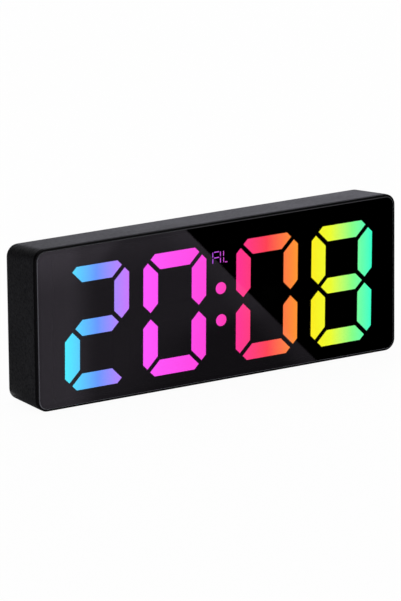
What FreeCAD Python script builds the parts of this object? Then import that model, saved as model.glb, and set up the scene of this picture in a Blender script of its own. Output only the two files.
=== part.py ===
import FreeCAD, Part
import math
import os

# A digital desk clock with a smoked front panel, four large seven segment digits, a tapered black
# case, rear keys, an alarm switch, a power inlet and a hinged battery door.
# Millimetres. X runs to the viewer's right, Z runs up, and the display faces -Y.
# The origin is on the table, below the middle of the clock.

# Case
CASE_WIDTH = 163.0
CASE_HEIGHT = 63.0
CASE_DEPTH = 22.8
RIM_DEPTH = 1.7          # lens face to the front edge of the shell
TOP_FALL = 2.3           # how far the top slopes down on its way to the back
SIDE_DRAW = 0.4          # how far each side draws in on its way to the back
FRONT_CORNER = 4.5
REAR_CORNER = 4.7
LEAST_CORNER = 0.6
WALL = 2.0
REAR_WALL = 2.0
REAR_EDGE = 1.2

# Front frame and lens
LENS_INSET = 0.8
LENS_THICK = 1.0
LENS_BEVEL = 0.25
LENS_GAP = 0.12
LENS_PROUD = 0.3
TAPE_THICK = 0.1
TAPE_WIDTH = 1.6
RIM_ROUND = 0.35
GROOVE_WIDTH = 0.3
GROOVE_DEPTH = 0.5
LEDGE_THICK = 1.6
LIP_THICK = 1.1          # shell lip that wraps round the frame's tongue
LIP_DEPTH = 3.0
FIT = 0.1                # running gap between moulded parts
SEAT_GAP = 0.05          # gap left where two pieces are drawn up to each other
WINDOW_SIDE = 7.3        # case side to the frame's opening
WINDOW_INSET = 3.2       # case edge to the frame's opening at top and bottom
WINDOW_CORNER = 1.5

# Feet
FOOT_RADIUS = 3.5
FOOT_THICK = 1.0
FOOT_PROUD = 0.4
FOOT_BEVEL = 0.2
FOOT_SIDE = 15.5         # case side to the middle of a foot
FOOT_INSET = 5.4         # shell's front edge and rear face to the middle of a foot

# Case screws
BOSS_GAP = 0.3           # light box to a screw boss
SCREW_INSET = 8.5        # case top and bottom to the screw
CASE_BOSS_RADIUS = 2.2
CASE_BOSS_LENGTH = 7.0
CASE_PILOT_RADIUS = 0.85
CASE_SCREW_HOLE = 1.2
CASE_HEAD_RADIUS = 1.8
CASE_HEAD_THICK = 1.3
CASE_HEAD_HOLE = 2.1
CASE_HEAD_SINK = 3.4
CASE_SCREW_BITE = 5.0
CASE_POST_RADIUS = 3.0
PILOT_SPARE = 0.5        # pilot hole left below a screw's tip
THREAD_FIT = 0.02        # screw shank to its pilot hole
HEAD_BEVEL = 0.45        # share of the head's height
CROSS_LONG = 0.9         # share of the head's radius
CROSS_WIDE = 0.24
CROSS_DEEP = 0.4         # share of the head's height

# Display layout
DISPLAY_X = 1.0          # middle of the colon
DIGIT_SIDE = 3.7         # end of the light box to the digits
DIGIT_UNDER = 2.5        # bottom of the light box to the digits
DIGIT_OVER = 5.2         # digits to the top of the light box
DIGIT_GAP = 6.1          # between the digits of a pair
COLON_SPACE = 13.4       # between the pairs
STROKE_WIDE = 6.8
STROKE_HIGH = 6.5
SEGMENT_GAP = 1.5
DIGIT_CHAMFER = 5.2
DIGIT_LEAN = 1.0         # degrees
DOT_RADIUS = 2.5
DOT_SPACING = 12.7
LETTER_HEIGHT = 5.0
LETTER_A_WIDTH = 4.0
LETTER_L_WIDTH = 2.8
LETTER_SPACE = 0.9
LETTER_STROKE = 0.55
LETTER_BREAK = 0.22
LETTER_DROP = 10.7       # top of the light box to the middle of the letters
SEGMENTS = "abcdefg"
LIT_SEGMENTS = ("abged", "abcdef", "abcdef", "abcdefg")

# Light box behind the lens
BOX_SIDE_GAP = 0.7       # frame's opening to the light box, at each side
BOX_EDGE_GAP = 0.3       # the same at top and bottom
BOX_GAP = 0.1            # lens to the light box
BOARD_GAP = 1.75         # display board to the floor of the battery bay
PANE_THICK = 1.2
PANE_FIT = 0.03
GUIDE_PLATE = 0.6        # plate that joins the letters' strokes
EAR_GAP = 0.3
EAR_ROOT = 1.0           # how far an ear reaches into the light box
EAR_HEIGHT = 6.0
EAR_SPAN = 22.0

# Display board
BOARD_THICK = 1.2
LED_LENGTH = 2.0
LED_WIDTH = 1.25
LED_THICK = 0.8
LAMP_SHARE = 0.4         # lamp to the segment's middle, as a share of its half length
BOARD_SCREW_RADIUS = 0.8
BOARD_SCREW_HOLE = 1.05
BOARD_HEAD_RADIUS = 1.7
BOARD_HEAD_THICK = 1.1
BOARD_SCREW_BITE = 1.0
CHIP_BEVEL = 0.3
DRIVER_COUNT = 2
DRIVER_LENGTH = 17.9
DRIVER_WIDTH = 7.5
DRIVER_THICK = 1.8
DRIVER_SIDE = 4.55       # end of the board to the last driver
DRIVER_LOW = 8.5         # bottom of the board to the middle of the drivers
DRIVER_GAP = 8.1
CLOCK_CHIP_SIDE = 9.0
CLOCK_CHIP_THICK = 1.6
CLOCK_CHIP_X = 8.0
CRYSTAL_RADIUS = 1.5
CRYSTAL_LENGTH = 8.0
CRYSTAL_BEVEL = 0.3
CRYSTAL_GAP = 3.0        # chip to the crystal
CAPACITOR_RADIUS = 2.5
CAPACITOR_LENGTH = 5.4
CAPACITOR_BEVEL = 0.4
CAPACITOR_X = -2.0
CAPACITOR_DROP = 9.5     # top of the board to the middle of the capacitor

# Battery bay
CELL_RADIUS = 5.25
CELL_LENGTH = 43.3
CELL_EDGE = 0.6
BUTTON_RADIUS = 1.9
BUTTON_LENGTH = 1.2
CELL_SPACING = 0.4
CELL_COUNT = 3
CELL_SIDE_GAP = 0.35
CELL_FLOOR_GAP = 0.15
CELL_DOOR_GAP = 0.3
SPRING_SPACE = 4.2
CONTACT_THICK = 0.4
CONTACT_SIDE = 8.4
CONTACT_CORNER = 1.0
BAY_NEAR = 10.25         # middle of the clock to the near end of the bay
BAY_WALL = 2.4
BAY_FLOOR = 1.2
LEDGE_WIDTH = 1.4        # bay wall top that carries the door

# Contact springs
SPRING_WIRE = 0.3        # wire radius
SPRING_BASE_RADIUS = 3.2
SPRING_TIP_RADIUS = 1.9
SPRING_TURNS = 3
ARCS_PER_TURN = 4        # each is a pair of arcs

# Battery door
DOOR_THICK = 1.6
DOOR_GAP = 0.2
DOOR_CORNER = 1.5
HOOK_WIDTH = 6.0
HOOK_THICK = 1.0
HOOK_REACH = 1.8
HOOK_DROP = 0.15         # gap between the hook and the shell's rear wall
HOOK_ROOT = 1.6
HOOK_CURVE = 0.25        # hook's flat underside to the circle that it turns on
HOOK_SPREAD = 30.0
HOOK_SLOT_SIDE = 0.5
HOOK_ROOM = 1.6          # free depth below a hook as it turns
LATCH_WIDTH = 12.0
LATCH_LENGTH = 8.0
LATCH_SLOT = 0.8
LATCH_NIB = 0.12         # how far the nib stands out of the door's edge
NIB_LENGTH = 6.0
NIB_RADIUS = 0.4
LATCH_RIDGES = 3
RIDGE_RADIUS = 0.35
RIDGE_LENGTH = 7.2
RIDGE_PITCH = 1.6
RIDGE_START = 2.0        # door's edge to the first ridge
SCOOP_WIDTH = 11.0
SCOOP_DEPTH = 1.0
SCOOP_REACH = 3.0

# Control board and what it carries
CONTROL_NEAR = 4.0       # middle of the clock to the board's near end
POST_GAP = 0.5           # board's far end to a case screw's post
CONTROL_RAISE = 2.65     # middle of the rear face to the middle of the board
CONTROL_HEIGHT = 38.0
CONTROL_CORNER = 1.0
CONTROL_HOLE_INSET = 3.2
CONTROL_POST_RADIUS = 2.6
CONTROL_SCREW_BITE = 4.5
ROW_OFFSET = 9.0         # board's middle line to the keys above and the other controls below

# Keys
KEY_NAMES = ("mode", "set", "up", "down")
KEY_PITCH = 14.0
KEY_LENGTH = 9.0
KEY_WIDTH = 5.0
KEY_PROUD = 1.0
KEY_GAP = 0.2
KEY_ROUND = 0.5
KEY_FLANGE = 0.9
KEY_FLANGE_THICK = 0.9
KEY_TRAVEL = 0.3
TACT_SIDE = 6.0
TACT_THICK = 3.5
TACT_BEVEL = 0.4
PLUNGER_RADIUS = 1.7
PLUNGER_PROUD = 1.5
PLUNGER_SUNK = 1.0
PLUNGER_GAP = 0.08
PLUNGER_BEVEL = 0.2
PLUNGER_ROOM = 0.3       # free depth below a pressed plunger

# Alarm switch
SWITCH_OFFSET = 19.0     # board's middle to the switch
SWITCH_TRAVEL = 2.0
CAN_LENGTH = 8.6
CAN_WIDTH = 3.8
CAN_THICK = 3.4
CAN_WALL = 0.6
LEVER_FOOT_LENGTH = 3.0
LEVER_FOOT_THICK = 1.0
LEVER_SIDE = 1.5
LEVER_GRIP = 0.5         # how deep the lever's tip sits in the slider
SLIDER_LENGTH = 11.0
SLIDER_WIDTH = 5.0
SLIDER_THICK = 0.8
NUB_LENGTH = 3.6
NUB_WIDTH = 3.0
NUB_PROUD = 0.4
NUB_RIDGE = 0.4
NUB_GROOVES = 2
GUIDE_THICK = 0.8
GUIDE_DEPTH = 1.3
GUIDE_SPARE = 1.0

# Power inlet
INLET_SIDE = 12.0        # board's far end to the inlet
INLET_WIDTH = 9.0
INLET_HEIGHT = 3.2
INLET_WALL = 0.3
INLET_SINK = 0.4
INLET_FLOOR = 1.5
TONGUE_WIDTH = 6.6
TONGUE_THICK = 0.7
TONGUE_SINK = 0.8
TONGUE_BEVEL = 0.2
INLET_RECESS = 1.5
INLET_RECESS_DEPTH = 0.8

# Buzzer
BUZZER_OFFSET = 2.0      # board's middle to the buzzer
BUZZER_RADIUS = 6.0
BUZZER_THICK = 5.2
BUZZER_BEVEL = 0.4
BUZZER_HOLE = 1.2
BUZZER_BORE = 2.0
DUCT_WALL = 0.9
DUCT_GAP = 0.3
DUCT_LAP = 1.0           # how far the duct reaches down over the buzzer
SOUND_HOLE = 0.8
SOUND_RING = 3.4
SOUND_COUNT = 6

# Flat cable between the boards
CABLE_WIDTH = 8.0
CABLE_THICK = 0.6
CABLE_GAP = 1.75         # drivers to the cable

# Planes along the depth
CASE_FRONT = -(CASE_DEPTH + KEY_PROUD) / 2
CASE_BACK = CASE_FRONT + CASE_DEPTH
SHELL_FRONT = CASE_FRONT + RIM_DEPTH
REAR_INNER = CASE_BACK - REAR_WALL
POCKET_FLOOR = CASE_FRONT + LENS_THICK + TAPE_THICK
LEDGE_BACK = POCKET_FLOOR + LEDGE_THICK
BOSS_TOP = LEDGE_BACK + CASE_BOSS_LENGTH
CELL_Y = CASE_BACK - DOOR_THICK - CELL_DOOR_GAP - CELL_RADIUS
BAY_BOTTOM = CELL_Y - CELL_RADIUS - CELL_FLOOR_GAP
DISPLAY_BACK = BAY_BOTTOM - BAY_FLOOR - BOARD_GAP
BOX_BACK = DISPLAY_BACK - BOARD_THICK
BOX_FRONT = CASE_FRONT + LENS_THICK + BOX_GAP
KEY_BACK = REAR_INNER - SEAT_GAP - KEY_FLANGE_THICK
CONTROL_BACK = KEY_BACK - PLUNGER_PROUD - TACT_THICK
CONTROL_FRONT = CONTROL_BACK - BOARD_THICK
INLET_MOUTH = CASE_BACK - INLET_RECESS_DEPTH - INLET_SINK

# Heights
CASE_LOW = FOOT_PROUD
CASE_HIGH = CASE_LOW + CASE_HEIGHT
BOX_INSET = WINDOW_INSET + BOX_EDGE_GAP
BOX_LOW = CASE_LOW + BOX_INSET
BOX_HIGH = CASE_HIGH - BOX_INSET
DIGIT_HEIGHT = BOX_HIGH - BOX_LOW - DIGIT_UNDER - DIGIT_OVER
DIGIT_Z = BOX_LOW + DIGIT_UNDER + DIGIT_HEIGHT / 2
LETTER_Z = BOX_HIGH - LETTER_DROP
DRIVER_Z = BOX_LOW + DRIVER_LOW
CABLE_Z = DRIVER_Z + DRIVER_WIDTH / 2 + CABLE_GAP
BAY_Z = CASE_LOW + (CASE_HEIGHT - TOP_FALL) / 2
CONTROL_Z = BAY_Z + CONTROL_RAISE
KEY_Z = CONTROL_Z + ROW_OFFSET
LOWER_Z = CONTROL_Z - ROW_OFFSET

# Places along the width
CASE_HALF = CASE_WIDTH / 2
WINDOW_HALF = CASE_HALF - WINDOW_SIDE
BOX_HALF = WINDOW_HALF - BOX_SIDE_GAP
SCREW_X = BOX_HALF + BOSS_GAP + CASE_BOSS_RADIUS
EAR_END = CASE_HALF - WINDOW_INSET - EAR_GAP
EAR_HOLE_X = (BOX_HALF + EAR_END) / 2
DIGIT_WIDTH = (2 * BOX_HALF - 2 * DIGIT_SIDE - 2 * DIGIT_GAP - COLON_SPACE) / len(LIT_SEGMENTS)
DIGIT_PITCH = DIGIT_WIDTH + DIGIT_GAP
PAIR_X = (COLON_SPACE + DIGIT_PITCH + DIGIT_WIDTH) / 2
LETTERS_WIDTH = LETTER_A_WIDTH + LETTER_SPACE + LETTER_L_WIDTH
CONTROL_FAR = SCREW_X - CASE_POST_RADIUS - POST_GAP
CONTROL_WIDTH = CONTROL_FAR - CONTROL_NEAR
CONTROL_X = CONTROL_NEAR + CONTROL_WIDTH / 2
SWITCH_X = CONTROL_X - SWITCH_OFFSET
SWITCH_MIDDLE = SWITCH_X + SWITCH_TRAVEL / 2
BUZZER_X = CONTROL_X + BUZZER_OFFSET
INLET_X = CONTROL_FAR - INLET_SIDE

# Battery bay, inside lengths
CELL_PITCH = 2 * CELL_RADIUS + CELL_SPACING
BAY_LENGTH = CELL_LENGTH + BUTTON_LENGTH + SPRING_SPACE + 2 * CONTACT_THICK
BAY_HEIGHT = (CELL_COUNT - 1) * CELL_PITCH + 2 * CELL_RADIUS + 2 * CELL_SIDE_GAP
BAY_X = -BAY_NEAR - BAY_LENGTH / 2
HATCH_LENGTH = BAY_LENGTH + 2 * LEDGE_WIDTH
HATCH_HEIGHT = BAY_HEIGHT + 2 * LEDGE_WIDTH
HINGE_Z = BAY_Z - HATCH_HEIGHT / 2 + DOOR_GAP
DOOR_TOP = BAY_Z + HATCH_HEIGHT / 2 - DOOR_GAP


def point(x, y, z):
    return FreeCAD.Vector(x, y, z)


def block(x, y, z):
    """A box from three (low, high) pairs."""
    size = [pair[1] - pair[0] for pair in (x, y, z)]
    return Part.makeBox(*size, point(x[0], y[0], z[0]))


def around(middle, length):
    return (middle - length / 2, middle + length / 2)


def in_order(first, second):
    return (min(first, second), max(first, second))


def rod(x, z, radius, low, high):
    """A round bar along Y."""
    return Part.makeCylinder(radius, high - low, point(x, low, z), point(0, 1, 0))


def rounded_wire(x, z, radius, y):
    """A rounded rectangle in the plane at y, from (low, high) pairs in X and Z."""
    (left, right), (low, high) = x, z
    corners = (
        (right - radius, high - radius, 0),
        (left + radius, high - radius, 90),
        (left + radius, low + radius, 180),
        (right - radius, low + radius, 270),
    )
    arcs = []
    for cx, cz, start in corners:
        ends = []
        for turn in (0, 45, 90):
            angle = math.radians(start + turn)
            ends.append(point(cx + radius * math.cos(angle), y, cz + radius * math.sin(angle)))
        arcs.append(ends)
    edges = []
    for i, ends in enumerate(arcs):
        edges.append(Part.Arc(*ends).toShape())
        following = arcs[(i + 1) % len(arcs)]
        if (following[0] - ends[2]).Length > 1e-6:
            edges.append(Part.LineSegment(ends[2], following[0]).toShape())
    return Part.Wire(edges)


def slab(x, z, radius, low, high):
    """A rounded rectangle drawn out along Y."""
    face = Part.Face(rounded_wire(x, z, radius, low))
    return face.extrude(point(0, high - low, 0))


def pill(x, z, length, width, low, high):
    """A round ended bar section drawn out along Y."""
    return slab(around(x, length), around(z, width), width / 2 - 1e-3, low, high)


def polygon_bar(corners, low, high):
    """A straight sided outline of (x, z) corners drawn out along Y."""
    spots = [point(x, low, z) for x, z in corners]
    face = Part.Face(Part.makePolygon(spots + spots[:1]))
    return face.extrude(point(0, high - low, 0))


def edges_on_plane(shape, y):
    """Edges that lie in the plane at y."""
    found = []
    for edge in shape.Edges:
        box = edge.BoundBox
        if max(abs(box.YMin - y), abs(box.YMax - y)) < 1e-4:
            found.append(edge)
    return found


def end_edges(bar):
    """Edges square to X, at the ends of a bar along X."""
    return [edge for edge in bar.Edges if edge.BoundBox.XLength < 1e-4]


# Case outlines

def outline(inset, y):
    """The case's outer outline, moved in by inset, at depth y."""
    along = max(0.0, (y - SHELL_FRONT) / (CASE_BACK - SHELL_FRONT))
    half = CASE_HALF - SIDE_DRAW * along - inset
    radius = FRONT_CORNER + (REAR_CORNER - FRONT_CORNER) * along - inset
    return rounded_wire(
        (-half, half),
        (CASE_LOW + inset, CASE_HIGH - TOP_FALL * along - inset),
        max(radius, LEAST_CORNER),
        y,
    )


def tapered(inset, low, high):
    """The tapered case block, moved in by inset, between two depths."""
    return Part.makeLoft([outline(inset, low), outline(inset, high)], True, True)


def straight(inset, low, high):
    """The front outline, moved in by inset, drawn straight back."""
    half = CASE_HALF - inset
    return slab(
        (-half, half),
        (CASE_LOW + inset, CASE_HIGH - inset),
        max(FRONT_CORNER - inset, LEAST_CORNER),
        low,
        high,
    )


# Places of what repeats

def case_screw_spots():
    spots = []
    for x in (-SCREW_X, SCREW_X):
        for z in (CASE_LOW + SCREW_INSET, CASE_HIGH - SCREW_INSET):
            spots.append((x, z))
    return spots


def ear_spots():
    """Side and height of each ear of the light box and its board."""
    middle = (BOX_LOW + BOX_HIGH) / 2
    return [(side, z) for side in (-1, 1) for z in around(middle, EAR_SPAN)]


def control_spots():
    spots = []
    for x in around(CONTROL_X, CONTROL_WIDTH - 2 * CONTROL_HOLE_INSET):
        for z in around(CONTROL_Z, CONTROL_HEIGHT - 2 * CONTROL_HOLE_INSET):
            spots.append((x, z))
    return spots


def key_spots():
    first = CONTROL_X - (len(KEY_NAMES) - 1) * KEY_PITCH / 2
    return [(first + i * KEY_PITCH, KEY_Z) for i in range(len(KEY_NAMES))]


def sound_spots():
    """One sound hole in the middle and a ring around it."""
    spots = [(BUZZER_X, LOWER_Z)]
    for i in range(SOUND_COUNT):
        angle = 2 * math.pi * i / SOUND_COUNT
        spots.append((BUZZER_X + SOUND_RING * math.cos(angle), LOWER_Z + SOUND_RING * math.sin(angle)))
    return spots


def cell_heights():
    first = BAY_Z - (CELL_COUNT - 1) * CELL_PITCH / 2
    return [first + i * CELL_PITCH for i in range(CELL_COUNT)]


def button_side(i):
    """Which end of the bay the button of cell i faces."""
    return 1 if i % 2 == 0 else -1


def hook_spots():
    return around(BAY_X, HOOK_SPREAD)


def foot_spots():
    x = CASE_HALF - FOOT_SIDE
    return [(side * x, y) for side in (-1, 1) for y in (SHELL_FRONT + FOOT_INSET, CASE_BACK - FOOT_INSET)]


def foot(x, y, radius, low, high):
    return Part.makeCylinder(radius, high - low, point(x, y, low), point(0, 0, 1))


# Display outlines

def segment_outline(name):
    """Corners of one segment, about the digit's centre."""
    a = DIGIT_WIDTH / 2
    b = DIGIT_HEIGHT / 2
    half_gap = SEGMENT_GAP / math.sqrt(2)
    tip_far = (DIGIT_CHAMFER + half_gap) / 2
    tip_near = (DIGIT_CHAMFER - half_gap) / 2
    across = STROKE_WIDE / 2
    top = [
        (-a + DIGIT_CHAMFER, b),
        (a - DIGIT_CHAMFER, b),
        (a - tip_far, b - tip_near),
        (a - STROKE_HIGH - half_gap, b - STROKE_HIGH),
        (-a + STROKE_HIGH + half_gap, b - STROKE_HIGH),
        (-a + tip_far, b - tip_near),
    ]
    upper_right = [
        (a, b - DIGIT_CHAMFER),
        (a, half_gap + across),
        (a - across, half_gap),
        (a - STROKE_WIDE, half_gap + across),
        (a - STROKE_WIDE, b - STROKE_WIDE - half_gap),
        (a - tip_near, b - tip_far),
    ]
    bar_tip = a - across - half_gap
    thick = STROKE_HIGH / 2
    middle = [
        (-bar_tip, 0),
        (-bar_tip + thick, thick),
        (bar_tip - thick, thick),
        (bar_tip, 0),
        (bar_tip - thick, -thick),
        (-bar_tip + thick, -thick),
    ]
    mirrors = {
        "a": (top, 1, 1),
        "d": (top, 1, -1),
        "b": (upper_right, 1, 1),
        "c": (upper_right, 1, -1),
        "f": (upper_right, -1, 1),
        "e": (upper_right, -1, -1),
        "g": (middle, 1, 1),
    }
    corners, flip_x, flip_z = mirrors[name]
    return [(u * flip_x, w * flip_z) for u, w in corners]


def digit_centres():
    centres = []
    for pair in (-PAIR_X, PAIR_X):
        centres += around(DISPLAY_X + pair, DIGIT_PITCH)
    return centres


def segment_corners(digit, name):
    """Corners of one segment in place, leaning to the right."""
    slope = math.tan(math.radians(DIGIT_LEAN))
    x = digit_centres()[digit]
    return [(x + u + w * slope, DIGIT_Z + w) for u, w in segment_outline(name)]


def centre_of(corners):
    return sum(x for x, z in corners) / len(corners), sum(z for x, z in corners) / len(corners)


def segment_cell(digit, name):
    """The opening of one segment through the light box."""
    return polygon_bar(segment_corners(digit, name), BOX_FRONT, BOX_BACK)


def segment_pane(digit, name):
    """The diffuser in the mouth of one segment, a hair smaller than its cell."""
    corners = segment_corners(digit, name)
    cx, cz = centre_of(corners)
    reach = max(math.hypot(x - cx, z - cz) for x, z in corners)
    share = 1 - PANE_FIT / reach
    pulled = [(cx + (x - cx) * share, cz + (z - cz) * share) for x, z in corners]
    return polygon_bar(pulled, BOX_FRONT, BOX_FRONT + PANE_THICK)


def segment_lamps(digit, name):
    """Places of the two lamps behind one segment."""
    corners = segment_corners(digit, name)
    cx, cz = centre_of(corners)
    half_wide = max(x for x, z in corners) - cx
    half_tall = max(z for x, z in corners) - cz
    if half_wide > half_tall:
        return [(x, cz) for x in around(cx, 2 * half_wide * LAMP_SHARE)]
    return [(cx, z) for z in around(cz, 2 * half_tall * LAMP_SHARE)]


def dot_heights():
    return around(DIGIT_Z, DOT_SPACING)


def letter_bars(strokes, width):
    """Thin strokes of one letter as (x pair, z pair), from its lower left corner."""
    t = LETTER_STROKE
    half = LETTER_HEIGHT / 2
    gap = LETTER_BREAK
    across = (t + gap, width - t - gap)
    bars = {
        "a": (across, (LETTER_HEIGHT - t, LETTER_HEIGHT)),
        "g": (across, (half - t / 2, half + t / 2)),
        "d": (across, (0, t)),
        "f": ((0, t), (half + gap, LETTER_HEIGHT - gap)),
        "e": ((0, t), (gap, half - gap)),
        "b": ((width - t, width), (half + gap, LETTER_HEIGHT - gap)),
        "c": ((width - t, width), (gap, half - gap)),
    }
    return [bars[name] for name in strokes]


def indicator_bars():
    """The alarm letters' strokes in place, as (x pair, z pair)."""
    low = LETTER_Z - LETTER_HEIGHT / 2
    start = DISPLAY_X - LETTERS_WIDTH / 2
    placed = []
    for strokes, width in (("afbgec", LETTER_A_WIDTH), ("fed", LETTER_L_WIDTH)):
        for (x0, x1), (z0, z1) in letter_bars(strokes, width):
            placed.append(((start + x0, start + x1), (low + z0, low + z1)))
        start += width + LETTER_SPACE
    return placed


# Front of the clock

def front_lens():
    plate = straight(LENS_INSET, CASE_FRONT, CASE_FRONT + LENS_THICK)
    return plate.makeChamfer(LENS_BEVEL, edges_on_plane(plate, CASE_FRONT))


def lens_tape():
    low = CASE_FRONT + LENS_THICK
    ring = straight(LENS_INSET + FIT, low, POCKET_FLOOR)
    hole = straight(LENS_INSET + FIT + TAPE_WIDTH, low, POCKET_FLOOR)
    return ring.cut(hole)


def frame_body():
    """Rim, groove and the tongue that plugs into the shell, with the lens pocket and the opening."""
    rim_front = CASE_FRONT + LENS_PROUD
    tongue_end = SHELL_FRONT + LIP_DEPTH - FIT
    band = straight(0, rim_front, SHELL_FRONT - GROOVE_WIDTH)
    band = band.makeFillet(RIM_ROUND, edges_on_plane(band, rim_front))
    neck = straight(GROOVE_DEPTH, SHELL_FRONT - GROOVE_WIDTH, SHELL_FRONT)
    tongue = straight(LIP_THICK + FIT, SHELL_FRONT, tongue_end)
    heights = (CASE_LOW + WINDOW_INSET, CASE_HIGH - WINDOW_INSET)
    side = CASE_HALF - WINDOW_INSET
    pocket = straight(LENS_INSET - LENS_GAP, rim_front, POCKET_FLOOR)
    opening = slab((-WINDOW_HALF, WINDOW_HALF), heights, WINDOW_CORNER, POCKET_FLOOR, tongue_end)
    hollow = slab((-side, side), heights, WINDOW_CORNER, LEDGE_BACK, tongue_end)
    return band.fuse([neck, tongue]).cut([pocket, opening, hollow])


def front_frame():
    """The frame with the bosses and pilot holes for both sets of screws."""
    bosses = []
    pilots = []
    for x, z in case_screw_spots():
        bosses.append(rod(x, z, CASE_BOSS_RADIUS, LEDGE_BACK, BOSS_TOP))
        pilots.append(rod(x, z, CASE_PILOT_RADIUS, BOSS_TOP - CASE_SCREW_BITE - PILOT_SPARE, BOSS_TOP))
    for side, z in ear_spots():
        low = LEDGE_BACK - BOARD_SCREW_BITE - FIT
        pilots.append(rod(side * EAR_HOLE_X, z, BOARD_SCREW_RADIUS, low, LEDGE_BACK))
    return frame_body().fuse(bosses).cut(pilots).removeSplitter()


# Display

def eared_plate(low, high, ear_low):
    """Plate of the light box's size with four ears that reach over the frame's ledge."""
    plate = slab((-BOX_HALF, BOX_HALF), (BOX_LOW, BOX_HIGH), WINDOW_CORNER, low, high)
    ears = []
    holes = []
    for side, z in ear_spots():
        x = in_order(side * (BOX_HALF - EAR_ROOT), side * EAR_END)
        ears.append(block(x, (ear_low, high), around(z, EAR_HEIGHT)))
        holes.append(rod(side * EAR_HOLE_X, z, BOARD_SCREW_HOLE, ear_low, high))
    return plate.fuse(ears).cut(holes)


def light_box():
    """Black moulding with a cell behind each segment, fixed to the frame by four ears."""
    body = eared_plate(BOX_FRONT, BOX_BACK, LEDGE_BACK + SEAT_GAP)
    cuts = [segment_cell(digit, name) for digit in range(len(LIT_SEGMENTS)) for name in SEGMENTS]
    cuts += [rod(DISPLAY_X, z, DOT_RADIUS, BOX_FRONT, BOX_BACK) for z in dot_heights()]
    plate_front = BOX_FRONT + PANE_THICK
    cuts += [block(x, (BOX_FRONT, plate_front), z) for x, z in indicator_bars()]
    letters = around(LETTER_Z, LETTER_HEIGHT)
    cuts.append(block(around(DISPLAY_X, LETTERS_WIDTH), (plate_front, BOX_BACK), letters))
    return body.cut(cuts).removeSplitter()


def lit_panes(digit):
    """The tinted diffusers that shine in one digit."""
    return Part.makeCompound([segment_pane(digit, name) for name in LIT_SEGMENTS[digit]])


def unlit_panes():
    """The diffusers that stay dark at the time shown."""
    panes = []
    for digit, lit in enumerate(LIT_SEGMENTS):
        panes += [segment_pane(digit, name) for name in SEGMENTS if name not in lit]
    return Part.makeCompound(panes)


def colon_panes():
    panes = []
    for z in dot_heights():
        panes.append(rod(DISPLAY_X, z, DOT_RADIUS - PANE_FIT, BOX_FRONT, BOX_FRONT + PANE_THICK))
    return Part.makeCompound(panes)


def alarm_indicator():
    """The alarm letters and the light guide plate that joins their strokes behind the mask."""
    low = BOX_FRONT + PANE_THICK + PANE_FIT
    plate = block(
        around(DISPLAY_X, LETTERS_WIDTH - 2 * PANE_FIT),
        (low, low + GUIDE_PLATE),
        around(LETTER_Z, LETTER_HEIGHT - 2 * PANE_FIT),
    )
    strokes = []
    for (x0, x1), (z0, z1) in indicator_bars():
        strokes.append(block(
            (x0 + PANE_FIT, x1 - PANE_FIT),
            (BOX_FRONT, low),
            (z0 + PANE_FIT, z1 - PANE_FIT),
        ))
    return plate.fuse(strokes).removeSplitter()


def display_board():
    return eared_plate(BOX_BACK, DISPLAY_BACK, BOX_BACK).removeSplitter()


def display_leds():
    """Two lamps behind each segment, one behind each dot and one behind each letter."""
    spots = [(DISPLAY_X, z) for z in dot_heights()]
    spots += [(x, LETTER_Z) for x in around(DISPLAY_X, LETTER_A_WIDTH)]
    for digit in range(len(LIT_SEGMENTS)):
        for name in SEGMENTS:
            spots += segment_lamps(digit, name)
    depth = (BOX_BACK - LED_THICK, BOX_BACK)
    return Part.makeCompound([block(around(x, LED_LENGTH), depth, around(z, LED_WIDTH)) for x, z in spots])


def pan_screw(x, z, seat, shaft, head_radius, head_thick, shaft_radius, sign):
    """A cross head screw along Y. The head sits on the plane at seat and the shaft runs by sign."""
    axis = point(0, sign, 0)
    shank = Part.makeCylinder(shaft_radius, shaft, point(x, seat, z), axis)
    head = Part.makeCylinder(head_radius, head_thick, point(x, seat, z), axis * -1)
    crown = seat - sign * head_thick
    head = head.makeChamfer(head_thick * HEAD_BEVEL, edges_on_plane(head, crown))
    deep = in_order(crown, crown + sign * head_thick * CROSS_DEEP)
    long = head_radius * CROSS_LONG
    wide = head_radius * CROSS_WIDE
    cross = [block(around(x, a), deep, around(z, b)) for a, b in ((long, wide), (wide, long))]
    return shank.fuse(head).cut(cross).removeSplitter()


def display_screws():
    length = DISPLAY_BACK - LEDGE_BACK + BOARD_SCREW_BITE
    screws = []
    for side, z in ear_spots():
        screws.append(pan_screw(
            side * EAR_HOLE_X, z, DISPLAY_BACK, length,
            BOARD_HEAD_RADIUS, BOARD_HEAD_THICK, BOARD_SCREW_RADIUS - THREAD_FIT, -1,
        ))
    return Part.makeCompound(screws)


def chip(x, z, length, width, thick):
    """A moulded chip body on the back of the display board."""
    top = DISPLAY_BACK + thick
    body = block(around(x, length), (DISPLAY_BACK, top), around(z, width))
    return body.makeChamfer(CHIP_BEVEL, edges_on_plane(body, top))


def driver_chips():
    """The lamp drivers in a row along the bottom of the board."""
    last = BOX_HALF - DRIVER_SIDE - DRIVER_LENGTH / 2
    chips = []
    for i in range(DRIVER_COUNT):
        x = last - i * (DRIVER_LENGTH + DRIVER_GAP)
        chips.append(chip(x, DRIVER_Z, DRIVER_LENGTH, DRIVER_WIDTH, DRIVER_THICK))
    return Part.makeCompound(chips)


def clock_chip():
    return chip(CLOCK_CHIP_X, DRIVER_Z, CLOCK_CHIP_SIDE, CLOCK_CHIP_SIDE, CLOCK_CHIP_THICK)


def timing_crystal():
    """A round can lying above the clock chip."""
    z = DRIVER_Z + CLOCK_CHIP_SIDE / 2 + CRYSTAL_GAP + CRYSTAL_RADIUS
    start = point(CLOCK_CHIP_X - CRYSTAL_LENGTH / 2, DISPLAY_BACK + CRYSTAL_RADIUS, z)
    can = Part.makeCylinder(CRYSTAL_RADIUS, CRYSTAL_LENGTH, start, point(1, 0, 0))
    return can.makeChamfer(CRYSTAL_BEVEL, end_edges(can))


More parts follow.
